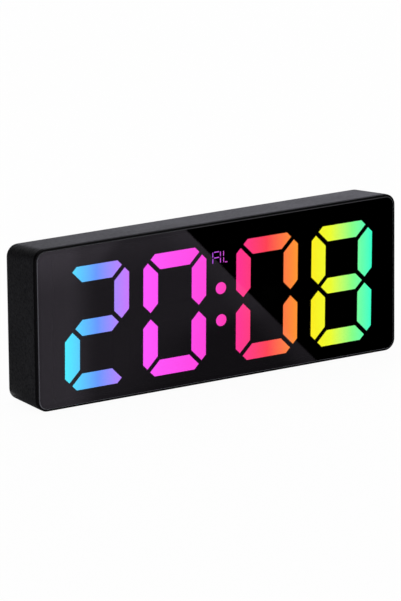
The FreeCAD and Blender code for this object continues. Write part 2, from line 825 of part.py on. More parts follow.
def smoothing_capacitor():
    top = DISPLAY_BACK + CAPACITOR_LENGTH
    can = rod(CAPACITOR_X, BOX_HIGH - CAPACITOR_DROP, CAPACITOR_RADIUS, DISPLAY_BACK, top)
    return can.makeChamfer(CAPACITOR_BEVEL, edges_on_plane(can, top))


# Rear shell

def bay_block(grow, low, high):
    """The battery bay's inside, grown all round in X and Z."""
    return block(around(BAY_X, BAY_LENGTH + 2 * grow), (low, high), around(BAY_Z, BAY_HEIGHT + 2 * grow))


def hatch_cut():
    """Opening in the rear wall that the door fills."""
    return slab(
        around(BAY_X, HATCH_LENGTH),
        around(BAY_Z, HATCH_HEIGHT),
        DOOR_CORNER,
        CASE_BACK - DOOR_THICK,
        CASE_BACK,
    )


def hook_slots():
    """Room in the lower bay wall for the door's two hooks to turn."""
    deep = CASE_BACK - REAR_WALL - HOOK_REACH - HOOK_THICK - HOOK_ROOM
    bay_floor = BAY_Z - BAY_HEIGHT / 2
    slots = []
    for x in hook_spots():
        wide = around(x, HOOK_WIDTH + 2 * HOOK_SLOT_SIDE)
        slots.append(block(wide, (deep, REAR_INNER), (HINGE_Z - HOOK_REACH - HOOK_SLOT_SIDE, bay_floor)))
        slots.append(block(wide, (deep, CASE_BACK - DOOR_THICK), (HINGE_Z - DOOR_GAP, bay_floor)))
    return slots


def finger_scoop():
    """Hollow above the latch where a fingertip reaches the door's edge."""
    edge = BAY_Z + HATCH_HEIGHT / 2
    length = SCOOP_REACH + SCOOP_DEPTH
    radius = (SCOOP_WIDTH ** 2 / 4 + length ** 2) / (2 * length)
    depth = (CASE_BACK - SCOOP_DEPTH, CASE_BACK)
    disc = rod(BAY_X, edge + length - radius, radius, *depth)
    return disc.common(block(around(BAY_X, SCOOP_WIDTH), depth, (edge, edge + length)))


def shell_skin():
    """The tapered outer wall with its rounded rear edge and the rebate for the frame's tongue."""
    outer = tapered(0, SHELL_FRONT, CASE_BACK)
    outer = outer.makeFillet(REAR_EDGE, edges_on_plane(outer, CASE_BACK))
    inner = tapered(WALL, SHELL_FRONT, REAR_INNER)
    rebate = straight(LIP_THICK, SHELL_FRONT, SHELL_FRONT + LIP_DEPTH)
    return outer.cut([inner, rebate])


def shell_supports():
    """Bay walls, screw posts, the sound duct and the switch guides, kept inside the walls."""
    duct_front = CONTROL_BACK + BUZZER_THICK - DUCT_LAP
    pieces = [
        bay_block(BAY_WALL, BAY_BOTTOM - BAY_FLOOR, REAR_INNER),
        rod(BUZZER_X, LOWER_Z, BUZZER_RADIUS + DUCT_WALL, duct_front, REAR_INNER),
    ]
    for x, z in case_screw_spots():
        pieces.append(rod(x, z, CASE_POST_RADIUS, BOSS_TOP + SEAT_GAP, REAR_INNER))
    for x, z in control_spots():
        pieces.append(rod(x, z, CONTROL_POST_RADIUS, CONTROL_BACK, REAR_INNER))
    length = SLIDER_LENGTH + SWITCH_TRAVEL + GUIDE_SPARE
    for side in (-1, 1):
        low = LOWER_Z + side * (SLIDER_WIDTH / 2 + FIT)
        z = in_order(low, low + side * GUIDE_THICK)
        pieces.append(block(around(SWITCH_MIDDLE, length), (REAR_INNER - GUIDE_DEPTH, REAR_INNER), z))
    envelope = tapered(WALL / 4, SHELL_FRONT, REAR_INNER + REAR_WALL / 4)
    return [piece.common(envelope) for piece in pieces]


def control_openings():
    """Openings in the rear wall for the keys, the slider, the inlet and the sound."""
    wall = (REAR_INNER, CASE_BACK)
    cuts = []
    for x, z in key_spots():
        cuts.append(pill(x, z, KEY_LENGTH + 2 * KEY_GAP, KEY_WIDTH + 2 * KEY_GAP, *wall))
    for x, z in sound_spots():
        cuts.append(rod(x, z, SOUND_HOLE, *wall))
    slot = around(SWITCH_MIDDLE, NUB_LENGTH + SWITCH_TRAVEL + 2 * KEY_GAP)
    cuts.append(block(slot, wall, around(LOWER_Z, NUB_WIDTH + 2 * KEY_GAP)))
    cuts.append(pill(INLET_X, LOWER_Z, INLET_WIDTH + 2 * FIT, INLET_HEIGHT + 2 * FIT, *wall))
    length = INLET_WIDTH + 2 * INLET_RECESS
    width = INLET_HEIGHT + 2 * INLET_RECESS
    cuts.append(pill(INLET_X, LOWER_Z, length, width, CASE_BACK - INLET_RECESS_DEPTH, CASE_BACK))
    return cuts


def rear_shell():
    """Tapered moulding with the battery bay, posts, guides and all rear openings."""
    cuts = [bay_block(0, BAY_BOTTOM, CASE_BACK), hatch_cut(), finger_scoop()]
    cuts += hook_slots() + control_openings()
    for x, z in case_screw_spots():
        cuts.append(rod(x, z, CASE_SCREW_HOLE, BOSS_TOP, CASE_BACK))
        cuts.append(rod(x, z, CASE_HEAD_HOLE, CASE_BACK - CASE_HEAD_SINK, CASE_BACK))
    for x, z in control_spots():
        cuts.append(rod(x, z, BOARD_SCREW_RADIUS, CONTROL_BACK, CONTROL_BACK + CONTROL_SCREW_BITE))
    duct_front = CONTROL_BACK + BUZZER_THICK - DUCT_LAP
    cuts.append(rod(BUZZER_X, LOWER_Z, BUZZER_RADIUS + DUCT_GAP, duct_front, REAR_INNER))
    for x, y in foot_spots():
        cuts.append(foot(x, y, FOOT_RADIUS + FIT, 0, FOOT_THICK))
    return shell_skin().fuse(shell_supports()).cut(cuts).removeSplitter()


def door_hooks():
    """Two hooks that reach under the rear wall, with undersides rounded about the hinge line."""
    top = REAR_INNER - HOOK_DROP
    low = top - HOOK_THICK
    hooks = []
    for x in hook_spots():
        wide = around(x, HOOK_WIDTH)
        hooks.append(block(wide, (low, top), (HINGE_Z - HOOK_REACH, HINGE_Z + HOOK_ROOT)))
        hooks.append(block(wide, (low, CASE_BACK - DOOR_THICK), (HINGE_Z + FIT, HINGE_Z + HOOK_ROOT)))
    start = point(BAY_X - HATCH_LENGTH / 2, CASE_BACK, HINGE_Z)
    turn = Part.makeCylinder(CASE_BACK - low + HOOK_CURVE, HATCH_LENGTH, start, point(1, 0, 0))
    return [hook.common(turn) for hook in hooks]


def latch_details():
    """The nib that clicks under the hatch's upper edge, and the grip ridges."""
    along = point(1, 0, 0)
    nib_start = point(
        BAY_X - NIB_LENGTH / 2,
        CASE_BACK - DOOR_THICK / 2,
        DOOR_TOP + LATCH_NIB - NIB_RADIUS,
    )
    pieces = [Part.makeCylinder(NIB_RADIUS, NIB_LENGTH, nib_start, along)]
    for i in range(LATCH_RIDGES):
        z = DOOR_TOP - RIDGE_START - i * RIDGE_PITCH
        start = point(BAY_X - RIDGE_LENGTH / 2, CASE_BACK - RIDGE_RADIUS / 2, z)
        pieces.append(Part.makeCylinder(RIDGE_RADIUS, RIDGE_LENGTH, start, along))
    return pieces


def battery_door():
    """Flat lid with two hooks below and a sprung latch tongue above."""
    sides = around(BAY_X, HATCH_LENGTH - 2 * DOOR_GAP)
    inner = CASE_BACK - DOOR_THICK
    panel = slab(sides, (HINGE_Z, DOOR_TOP), DOOR_CORNER - DOOR_GAP, inner, CASE_BACK)
    slots = []
    for x in around(BAY_X, LATCH_WIDTH + LATCH_SLOT):
        slots.append(block(around(x, LATCH_SLOT), (inner, CASE_BACK), (DOOR_TOP - LATCH_LENGTH, DOOR_TOP)))
    deep = REAR_INNER - HOOK_DROP - HOOK_THICK
    envelope = block(sides, (deep, CASE_BACK), (HINGE_Z - HOOK_REACH, DOOR_TOP + LATCH_NIB))
    door = panel.fuse(door_hooks() + latch_details())
    return door.cut(slots).common(envelope).removeSplitter()


def foot_pads():
    pads = []
    for x, y in foot_spots():
        pad = foot(x, y, FOOT_RADIUS, 0, FOOT_THICK)
        lower = [edge for edge in pad.Edges if edge.BoundBox.ZMax < 1e-4]
        pads.append(pad.makeChamfer(FOOT_BEVEL, lower))
    return Part.makeCompound(pads)


def case_screws():
    seat = CASE_BACK - CASE_HEAD_SINK
    length = seat - BOSS_TOP + CASE_SCREW_BITE
    screws = []
    for x, z in case_screw_spots():
        screws.append(pan_screw(
            x, z, seat, length,
            CASE_HEAD_RADIUS, CASE_HEAD_THICK, CASE_PILOT_RADIUS - THREAD_FIT, -1,
        ))
    return Part.makeCompound(screws)


# Battery cells and contacts

def cell(i):
    """One bare wrapped cell, its button towards the plate contact."""
    side = button_side(i)
    z = cell_heights()[i]
    end = BAY_X + side * (BAY_LENGTH / 2 - CONTACT_THICK)
    inwards = point(-side, 0, 0)
    button = Part.makeCylinder(BUTTON_RADIUS, BUTTON_LENGTH, point(end, CELL_Y, z), inwards)
    shoulder = end - side * BUTTON_LENGTH
    can = Part.makeCylinder(CELL_RADIUS, CELL_LENGTH, point(shoulder, CELL_Y, z), inwards)
    return can.makeChamfer(CELL_EDGE, end_edges(can)).fuse(button).removeSplitter()


def contact_plate(heights, side):
    """A sheet contact on the end wall of the bay, joining one or two cells."""
    wall = BAY_X + side * BAY_LENGTH / 2
    x = in_order(wall, wall - side * CONTACT_THICK)
    z = (min(heights) - CONTACT_SIDE / 2, max(heights) + CONTACT_SIDE / 2)
    plate = block(x, around(CELL_Y, CONTACT_SIDE), z)
    corners = [edge for edge in plate.Edges if edge.BoundBox.XLength > CONTACT_THICK / 2]
    return plate.makeFillet(CONTACT_CORNER, corners)


def coil_point(turns):
    """Centre of the spring's wire after so many turns, with the plate at x = 0."""
    share = turns / SPRING_TURNS
    radius = SPRING_BASE_RADIUS + (SPRING_TIP_RADIUS - SPRING_BASE_RADIUS) * share
    height = SPRING_WIRE + SEAT_GAP + (SPRING_SPACE - 2 * SPRING_WIRE - 2 * SEAT_GAP) * share
    angle = 2 * math.pi * turns
    return point(height, radius * math.cos(angle), radius * math.sin(angle))


def coil_heading(turns):
    step = 1e-5
    return (coil_point(turns + step) - coil_point(turns - step)).normalize()


def arc_from(start, heading, end):
    """The arc that leaves start along heading and ends at end."""
    chord = end - start
    length = chord.Length
    along = chord * (1 / length)
    lean = heading - along * heading.dot(along)
    half_turn = math.atan2(lean.Length, heading.dot(along))
    crown = (start + end) * 0.5 + lean.normalize() * (length / 2 * math.tan(half_turn / 2))
    return Part.Arc(start, crown, end).toShape()


def biarc(start, heading, end, end_heading):
    """Two tangent arcs from one point and heading to another."""
    chord = end - start
    both = heading + end_heading
    spread = 2 * (1 - heading.dot(end_heading))
    root = math.sqrt(chord.dot(both) ** 2 + spread * chord.dot(chord))
    reach = (root - chord.dot(both)) / spread
    middle = (start + heading * reach + end - end_heading * reach) * 0.5
    return [arc_from(start, heading, middle), arc_from(end, end_heading * -1, middle)]


def coil_wire():
    """The spring's centre line, a tapering coil with a short straight tail at each end."""
    count = SPRING_TURNS * ARCS_PER_TURN
    spots = [i / ARCS_PER_TURN for i in range(count + 1)]
    tail = 2 * SPRING_WIRE
    first, last = coil_point(0), coil_point(SPRING_TURNS)
    edges = [Part.LineSegment(first - coil_heading(0) * tail, first).toShape()]
    for a, b in zip(spots, spots[1:]):
        edges += biarc(coil_point(a), coil_heading(a), coil_point(b), coil_heading(b))
    edges.append(Part.LineSegment(last, last + coil_heading(SPRING_TURNS) * tail).toShape())
    return Part.Wire(edges)


def least_coil_gap():
    """Least gap between one turn of the spring and the next, on points along the wire."""
    count = SPRING_TURNS * 72
    spots = [coil_point(i * SPRING_TURNS / count) for i in range(count + 1)]
    far = count // (2 * SPRING_TURNS)
    gaps = [(a - b).Length for i, a in enumerate(spots) for b in spots[i + far:]]
    return min(gaps) - 2 * SPRING_WIRE


def contact_spring(i):
    """A cone of sprung wire between a cell's flat end and its contact plate."""
    side = -button_side(i)
    path = coil_wire()
    start = path.Vertexes[0].Point
    circle = Part.makeCircle(SPRING_WIRE, start, coil_heading(0))
    wire = path.makePipeShell([Part.Wire(circle)], True, False)
    if side > 0:
        wire.rotate(point(0, 0, 0), point(0, 0, 1), 180)
    plate = BAY_X + side * (BAY_LENGTH / 2 - CONTACT_THICK)
    wire.translate(point(plate, CELL_Y, cell_heights()[i]))
    return wire


# Control board

def control_board():
    board = slab(
        around(CONTROL_X, CONTROL_WIDTH),
        around(CONTROL_Z, CONTROL_HEIGHT),
        CONTROL_CORNER,
        CONTROL_FRONT,
        CONTROL_BACK,
    )
    return board.cut([rod(x, z, BOARD_SCREW_HOLE, CONTROL_FRONT, CONTROL_BACK) for x, z in control_spots()])


def control_screws():
    length = BOARD_THICK + CONTROL_SCREW_BITE - PILOT_SPARE
    screws = []
    for x, z in control_spots():
        screws.append(pan_screw(
            x, z, CONTROL_FRONT, length,
            BOARD_HEAD_RADIUS, BOARD_HEAD_THICK, BOARD_SCREW_RADIUS - THREAD_FIT, 1,
        ))
    return Part.makeCompound(screws)


def key_cap(i):
    """A pill shaped key, held behind the rear wall by its flange."""
    x, z = key_spots()[i]
    crown = CASE_BACK + KEY_PROUD
    cap = pill(x, z, KEY_LENGTH, KEY_WIDTH, KEY_BACK, crown)
    cap = cap.makeFillet(KEY_ROUND, edges_on_plane(cap, crown))
    length = KEY_LENGTH + 2 * KEY_FLANGE
    width = KEY_WIDTH + 2 * KEY_FLANGE
    flange = pill(x, z, length, width, KEY_BACK, KEY_BACK + KEY_FLANGE_THICK)
    return cap.fuse(flange).removeSplitter()


def tact_switches():
    top = CONTROL_BACK + TACT_THICK
    well = top - PLUNGER_SUNK - KEY_TRAVEL - PLUNGER_ROOM
    bodies = []
    for x, z in key_spots():
        body = block(around(x, TACT_SIDE), (CONTROL_BACK, top), around(z, TACT_SIDE))
        body = body.makeChamfer(TACT_BEVEL, edges_on_plane(body, top))
        bodies.append(body.cut(rod(x, z, PLUNGER_RADIUS + PLUNGER_GAP, well, top)))
    return Part.makeCompound(bodies)


def tact_plunger(i):
    x, z = key_spots()[i]
    pin = rod(x, z, PLUNGER_RADIUS, KEY_BACK - PLUNGER_PROUD - PLUNGER_SUNK, KEY_BACK)
    return pin.makeChamfer(PLUNGER_BEVEL, edges_on_plane(pin, KEY_BACK))


def switch_can():
    """Sheet metal body of the alarm switch, open on top for its lever."""
    top = CONTROL_BACK + CAN_THICK
    foot_room = LEVER_FOOT_LENGTH + SWITCH_TRAVEL + 2 * FIT
    stem_room = LEVER_SIDE + SWITCH_TRAVEL + 2 * FIT
    body = block(around(SWITCH_MIDDLE, CAN_LENGTH), (CONTROL_BACK, top), around(LOWER_Z, CAN_WIDTH))
    hollow = block(
        around(SWITCH_MIDDLE, foot_room),
        (CONTROL_BACK + CAN_WALL, top - CAN_WALL),
        around(LOWER_Z, CAN_WIDTH - 2 * CAN_WALL),
    )
    slot = block(
        around(SWITCH_MIDDLE, stem_room),
        (top - CAN_WALL, top),
        around(LOWER_Z, LEVER_SIDE + 2 * FIT),
    )
    return body.cut([hollow, slot])


def switch_lever():
    under = CONTROL_BACK + CAN_THICK - CAN_WALL - FIT
    tip = REAR_INNER - FIT - SLIDER_THICK + LEVER_GRIP
    lever_foot = block(
        around(SWITCH_X, LEVER_FOOT_LENGTH),
        (under - LEVER_FOOT_THICK, under),
        around(LOWER_Z, CAN_WIDTH - 2 * CAN_WALL - 2 * FIT),
    )
    stem = block(around(SWITCH_X, LEVER_SIDE), (under, tip), around(LOWER_Z, LEVER_SIDE))
    return lever_foot.fuse(stem).removeSplitter()


def alarm_slider():
    """Cover plate with a ridged nub that shows in the rear wall's slot."""
    plate_high = REAR_INNER - FIT
    plate_low = plate_high - SLIDER_THICK
    crown = CASE_BACK + NUB_PROUD
    plate = block(around(SWITCH_X, SLIDER_LENGTH), (plate_low, plate_high), around(LOWER_Z, SLIDER_WIDTH))
    nub = block(around(SWITCH_X, NUB_LENGTH), (plate_high, crown), around(LOWER_Z, NUB_WIDTH))
    socket = LEVER_SIDE + 2 * PLUNGER_GAP
    cuts = [block(
        around(SWITCH_X, socket),
        (plate_low, plate_low + LEVER_GRIP + PLUNGER_GAP),
        around(LOWER_Z, socket),
    )]
    step = NUB_LENGTH / (NUB_GROOVES + 1)
    for i in range(NUB_GROOVES):
        x = SWITCH_X - NUB_LENGTH / 2 + (i + 1) * step
        cuts.append(block(around(x, NUB_RIDGE), (crown - NUB_RIDGE, crown), around(LOWER_Z, NUB_WIDTH)))
    return plate.fuse(nub).cut(cuts).removeSplitter()


def power_inlet():
    """Pressed metal sleeve of the power inlet, standing on the control board."""
    sleeve = pill(INLET_X, LOWER_Z, INLET_WIDTH, INLET_HEIGHT, CONTROL_BACK, INLET_MOUTH)
    length = INLET_WIDTH - 2 * INLET_WALL
    width = INLET_HEIGHT - 2 * INLET_WALL
    return sleeve.cut(pill(INLET_X, LOWER_Z, length, width, CONTROL_BACK + INLET_FLOOR, INLET_MOUTH))


def inlet_tongue():
    tip = INLET_MOUTH - TONGUE_SINK
    depth = (CONTROL_BACK + INLET_FLOOR, tip)
    bar = block(around(INLET_X, TONGUE_WIDTH), depth, around(LOWER_Z, TONGUE_THICK))
    return bar.makeChamfer(TONGUE_BEVEL, edges_on_plane(bar, tip))


def buzzer():
    top = CONTROL_BACK + BUZZER_THICK
    can = rod(BUZZER_X, LOWER_Z, BUZZER_RADIUS, CONTROL_BACK, top)
    can = can.makeChamfer(BUZZER_BEVEL, edges_on_plane(can, top))
    return can.cut(rod(BUZZER_X, LOWER_Z, BUZZER_HOLE, top - BUZZER_BORE, top))


def board_cable():
    """Flat cable from the display board to the control board."""
    depth = (DISPLAY_BACK, CONTROL_FRONT)
    return block(around(CONTROL_X, CABLE_WIDTH), depth, around(CABLE_Z, CABLE_THICK))


def build_all():
    heights = cell_heights()
    shapes = {
        "contact_start": contact_plate(heights[:1], 1),
        "contact_link_1": contact_plate(heights[:2], -1),
        "contact_link_2": contact_plate(heights[1:], 1),
        "contact_end": contact_plate(heights[2:], -1),
    }
    singles = (
        front_lens, lens_tape, front_frame, rear_shell, battery_door, foot_pads, case_screws,
        light_box, unlit_panes, colon_panes, alarm_indicator,
        display_board, display_leds, display_screws, driver_chips, clock_chip, timing_crystal,
        smoothing_capacitor, control_board, control_screws, tact_switches, switch_can, switch_lever,
        alarm_slider, power_inlet, inlet_tongue, buzzer, board_cable,
    )
    for make in singles:
        shapes[make.__name__] = make()
    for digit in range(len(LIT_SEGMENTS)):
        shapes["digit_%d_lit" % (digit + 1)] = lit_panes(digit)
    for i, name in enumerate(KEY_NAMES):
        shapes["key_" + name] = key_cap(i)
        shapes["plunger_" + name] = tact_plunger(i)
    for i in range(CELL_COUNT):
        shapes["cell_%d" % (i + 1)] = cell(i)
        shapes["contact_spring_%d" % (i + 1)] = contact_spring(i)
    return shapes


os.makedirs("parts", exist_ok=True)
for node, shape in build_all().items():
    if not shape.isValid():
        raise ValueError(node + " is not a valid solid")
    shape.exportStep(os.path.join("parts", node + ".step"))
    print(node, len(shape.Solids), round(shape.Volume, 2))
print("least gap between the spring's turns", round(least_coil_gap(), 3))
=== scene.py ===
"""Finishes, small details, studio and camera for a digital desk clock with a smoked front panel."""

import math
import bpy
from bpy.props import FloatProperty, FloatVectorProperty, PointerProperty
from bpy.types import Operator, Panel, PropertyGroup
from mathutils import Matrix, Vector


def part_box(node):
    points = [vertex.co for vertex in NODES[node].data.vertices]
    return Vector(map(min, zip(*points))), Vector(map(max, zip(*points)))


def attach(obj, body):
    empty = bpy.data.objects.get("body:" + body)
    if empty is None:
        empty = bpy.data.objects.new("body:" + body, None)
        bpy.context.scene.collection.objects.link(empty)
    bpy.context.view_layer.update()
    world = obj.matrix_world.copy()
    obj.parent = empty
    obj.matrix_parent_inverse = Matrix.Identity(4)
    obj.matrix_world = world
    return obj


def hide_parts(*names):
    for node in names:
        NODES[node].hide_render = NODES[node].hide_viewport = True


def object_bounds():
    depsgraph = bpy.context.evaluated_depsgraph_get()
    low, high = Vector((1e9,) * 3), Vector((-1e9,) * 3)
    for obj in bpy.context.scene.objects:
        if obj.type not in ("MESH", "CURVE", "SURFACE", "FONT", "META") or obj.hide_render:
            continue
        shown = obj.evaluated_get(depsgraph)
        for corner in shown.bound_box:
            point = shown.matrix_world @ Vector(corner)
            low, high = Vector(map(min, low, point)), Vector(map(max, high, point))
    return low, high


bl_info = {
    "name": "Desk Clock Finishes",
    "version": (1, 0, 0),
    "blender": (4, 5, 0),
    "location": "View3D > Sidebar > Clock",
    "description": "Finishes, small details, studio and camera for a digital desk clock",
    "category": "Object",
}

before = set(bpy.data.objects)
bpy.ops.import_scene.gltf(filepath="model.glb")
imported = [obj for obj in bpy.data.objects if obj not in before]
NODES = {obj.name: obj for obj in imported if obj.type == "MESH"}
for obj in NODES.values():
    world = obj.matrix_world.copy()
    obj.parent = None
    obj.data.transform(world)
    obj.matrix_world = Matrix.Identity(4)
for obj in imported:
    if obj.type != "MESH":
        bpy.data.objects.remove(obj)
CAD_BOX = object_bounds()
MM = 0.001
LENS_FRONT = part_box("front_lens")[0][1]

# Points closer than this are merged, faces that turn less are joined, and edges that turn less
# are shaded smooth
MERGE_DISTANCE = 0.001 * MM
FLAT_ANGLE = math.radians(1)
SMOOTH_ANGLE = math.radians(35)

# The values between which a noise texture mostly lies
NOISE_LOW = 0.3
NOISE_HIGH = 0.7

# Sizes of the faint clouds in the finishes, and how far they change a surface's roughness
CLOUD_SIZE = 22 * MM
CLOUD_ROUGHNESS = 0.04
HAZE_SIZE = 30 * MM
HAZE_ROUGHNESS = 0.012

# A wave texture's band spacing at a scale of 1, and the spacing of the bands that the boards show
WAVE_SPACING = 2 * math.pi / 20
WEAVE_SPACING = 3.77 * MM

# The lens's face is flat where its normal has more Y than this, and the painted highlight on its
# bevel, palest facing down, fades while the normal's Z runs over this much to either side
FLAT_FACING = 0.9
BEVEL_SLOPE = 0.7

# How far behind the foremost point a face still counts as a pane's front
FRONT_TOLERANCE = 0.01 * MM

# A cell's outline from its bare end, as (distance, radius) in millimetres, and where its
# finishes meet
CELL_OUTLINE = (
    (0.0, 0.0), (0.0, 3.9), (0.3, 4.2), (0.3, 4.35), (0.08, 4.5), (0.06, 4.75), (0.22, 5.08),
    (0.6, 5.25), (31.0, 5.25), (42.7, 5.25), (43.05, 5.08), (43.18, 4.75), (43.15, 4.45),
    (43.0, 4.35), (43.0, 2.9), (43.3, 2.6), (43.3, 1.9), (44.3, 1.9), (44.5, 1.7), (44.5, 0.0),
)
WRAP_INNER = 4.4
WASHER_INNER = 2.7
BAND_START = 31.0
CELL_FACETS = 48

# A case screw's outline from its crown, as (distance, radius) in millimetres, its thread and
# its recess
SCREW_OUTLINE = (
    (0.0, 0.0), (0.0, 0.6), (0.06, 1.0), (0.22, 1.4), (0.5, 1.68), (0.85, 1.8), (1.3, 1.8),
    (1.3, 0.62), (14.6, 0.62), (16.0, 0.0),
)
SCREW_HEAD_RADIUS = 1.8
SCREW_FACETS = 32
THREAD_START = 2.2
THREAD_PITCH = 0.7
THREAD_WIDTH = 0.56
THREAD_TURNS = 17
THREAD_FACETS = 16
THREAD_ROOT = 0.56
THREAD_RADIUS = 0.83
RECESS_LENGTH = 2.9
RECESS_WIDTH = 0.6
RECESS_DEPTH = 0.55

# Contacts on both faces of the power inlet's tongue, in millimetres
STRIP_COUNT = 12
STRIP_PITCH = 0.5
STRIP_SIZE = (0.26, 3.2, 0.1)
STRIP_PROUD = 0.03
STRIP_BEVEL = 0.03
STRIP_SETBACK = 0.3

# Plain colours that each lit node runs through, spaced evenly from its left edge to its right
DISPLAY_COLOURS = {
    "digit_1_lit": ("44EEFF", "6699FF", "CC77FF"),  # aqua, cornflower, violet
    "digit_2_lit": ("FF55FF", "FF44DD"),  # magenta, pink
    "digit_3_lit": ("FF3399", "FF4455", "FF9933"),  # rose, red, orange
    "digit_4_lit": ("FFEE22", "EEFF33", "88FF88", "33FFCC"),  # yellow, lime, green, mint
}
LETTER_COLOURS = {"alarm_indicator": ("BB55EE", "DD55CC")}  # purple, orchid

# The background's strength as a light on the object, the share of the floor's own white over the
# matt floor that takes the shadow, and the strength of that white
WORLD_FILL = 0.35
FLOOR_SHARE = 0.95
FLOOR_LEVEL = 1.01

# The stage in metres: the floor, and cards about the object, with their gaps to its box
FLOOR_REACH = 3.0
CARD_LIFT = 0.2 * MM
CARD_TOP = 1.8
FRONT_GAP = 1.1 * MM
SIDE_GAP = 1.5 * MM
BACK_GAP = 0.1 * MM
FRONT_CARD_LEFT, FRONT_CARD_RIGHT, FRONT_CARD_FRONT = -0.3, 0.6, -0.6
LEFT_CARD_X, LEFT_CARD_FRONT = -0.7, -0.4
BACK_CARD_Y, BACK_CARD_LEFT, BACK_CARD_RIGHT = 0.6, -1.4, 1.8
# The grey card's level, which under the case is a painted shadow, and the black velvet's level
FELT_AND_PAINTED_SHADOW_LEVEL = 0.13
VELVET_LEVEL = 0.004

# How the backdrop pales to the right and darkens upwards: (from, to) in metres, and the levels
BACKDROP_SIDEWAYS = (-0.1, 0.65, 0.02, 1.02)
BACKDROP_UPWARDS = (0.3, 1.0, 1.0, 0.3)

# The grey card in the lens: the slope of its right edge, and how its tone changes over the lens,
# each as (from, to) in millimetres across, up or along a slant, and the levels there
EDGE_SLOPE = 0.975
CARD_CUT = (44.8, 46.2, 1.0, 0.0)
CARD_EDGE = (30, 44, 0.0, 0.45)
CARD_STRIP = (-68, -54, 2.25, 1.0)
CARD_CORNER = (-113, -103, 1.65, 1.0)
CARD_HIGH = (44, 62, 1.0, 1.55)
CARD_LOW = (19, 30, 1.0, 0.0)
CARD_FOLD = (-62, -16, 0.0, 0.5)

# Softboxes, as (name, place, size, power) in metres and watts, and the point that they face
SOFTBOXES = (
    ("top_softbox", (-0.1, 0.35, 0.95), (0.7, 0.7), 2.5),
    ("front_softbox", (0.3, -1.2, 0.7), (0.8, 0.6), 3.0),
    ("rear_softbox", (1.0, 0.9, 0.6), (0.6, 0.6), 3.0),
)
SOFTBOX_TARGET = (0, 0, 0.03)

# The camera's sensor in millimetres, and how far it sees in metres
SENSOR_HEIGHT = 36.0
VIEW_END = 20.0


def linear(code):
    """A colour written as sRGB hex, turned to linear RGBA."""
    channels = [int(code[i:i + 2], 16) / 255 for i in (0, 2, 4)]
    return [c / 12.92 if c <= 0.04045 else ((c + 0.055) / 1.055) ** 2.4 for c in channels] + [1.0]


def nodes_named(start):
    """The CAD nodes whose names start so, in the frame's order."""
    return [name for name in NODES if name.startswith(start)]


# Materials

def new_material(name):
    """An empty material with a node tree."""
    material = bpy.data.materials.new(name)
    material.use_nodes = True
    material.node_tree.nodes.clear()
    return material


def add_node(tree, kind, inputs=None, **settings):
    """A node with its settings, and its inputs set to values or linked from sockets."""
    node = tree.nodes.new(kind)
    for name, value in settings.items():
        setattr(node, name, value)
    for name, value in (inputs or {}).items():
        if isinstance(value, bpy.types.NodeSocket):
            tree.links.new(value, node.inputs[name])
        else:
            node.inputs[name].default_value = value
    return node


def fill_ramp(node, stops):
    """Sets a colour ramp's stops from (place, linear colour) pairs."""
    ramp = node.color_ramp
    while len(ramp.elements) < len(stops):
        ramp.elements.new(0.5)
    for element, (place, tint) in zip(ramp.elements, stops):
        element.position = place
        element.color = tint


def grained(name, dark, light, grain, stretch, depth, roughness, shine=(0.5, 0.5), inputs=None):
    """A surface with a fine grain of that size and depth, longer along X by stretch.

    Dark and light are the colours in the grain's pits and on its peaks, as sRGB hex or linear RGBA,
    and shine is the specular level there.
    """
    dark, light = (linear(tone) if isinstance(tone, str) else tone for tone in (dark, light))
    material = new_material(name)
    tree = material.node_tree
    place = add_node(tree, "ShaderNodeTexCoord")
    turned = add_node(tree, "ShaderNodeMapping", {
        "Vector": place.outputs["Object"],
        "Scale": (1 / (grain * stretch), 1 / grain, 1 / grain),
    })
    pits = add_node(tree, "ShaderNodeTexNoise", {
        "Vector": turned.outputs["Vector"], "Scale": 1.0, "Detail": 3.0, "Roughness": 0.6,
    })
    clouds = add_node(tree, "ShaderNodeTexNoise", {
        "Vector": place.outputs["Object"], "Scale": 1 / CLOUD_SIZE, "Detail": 2.0,
    })
    tint = add_node(tree, "ShaderNodeValToRGB", {"Fac": pits.outputs["Fac"]})
    fill_ramp(tint, [(NOISE_LOW, dark), (NOISE_HIGH, light)])
    sheen = add_node(tree, "ShaderNodeMapRange", {
        "Value": clouds.outputs["Fac"], "From Min": NOISE_LOW, "From Max": NOISE_HIGH,
        "To Min": roughness - CLOUD_ROUGHNESS, "To Max": roughness + CLOUD_ROUGHNESS,
    })
    glint = add_node(tree, "ShaderNodeMapRange", {
        "Value": pits.outputs["Fac"], "From Min": NOISE_LOW, "From Max": NOISE_HIGH,
        "To Min": shine[0], "To Max": shine[1],
    })
    bump = add_node(tree, "ShaderNodeBump", {
        "Height": pits.outputs["Fac"], "Strength": 1.0, "Distance": depth,
    })
    surface = add_node(tree, "ShaderNodeBsdfPrincipled", {
        "Base Color": tint.outputs["Color"],
        "Roughness": sheen.outputs["Result"],
        "Specular IOR Level": glint.outputs["Result"],
        "Normal": bump.outputs["Normal"],
        **(inputs or {}),
    })
    add_node(tree, "ShaderNodeOutputMaterial", {"Surface": surface.outputs["BSDF"]})
    return material


def case_abs(settings):
    """Black ABS from a spark-eroded mould: a fine dull grain that greys at a low angle.

    The real grain is about 0.15 mm and is drawn at 0.9 mm so that it shows in the picture.
    """
    return grained(
        "grained_black_abs", settings.case_pits, settings.case_peaks,
        grain=settings.grain_size, stretch=1.8, depth=settings.grain_depth,
        roughness=settings.case_roughness, shine=(0.2, 0.8), inputs={"IOR": 1.53},
    )


def frame_abs():
    """Black ABS from a satin mould: smoother than the shell, with soft bright edges."""
    return grained(
        "satin_black_abs", "040405", "070708",
        grain=0.3 * MM, stretch=1.0, depth=0.004 * MM, roughness=0.42, shine=(0.06, 0.1),
    )


def key_abs():
    """Black ABS keys, a little glossier where fingers polish them."""
    return grained(
        "polished_black_abs", "121215", "1B1B1F",
        grain=0.35 * MM, stretch=1.0, depth=0.006 * MM, roughness=0.34, inputs={"IOR": 1.53},
    )


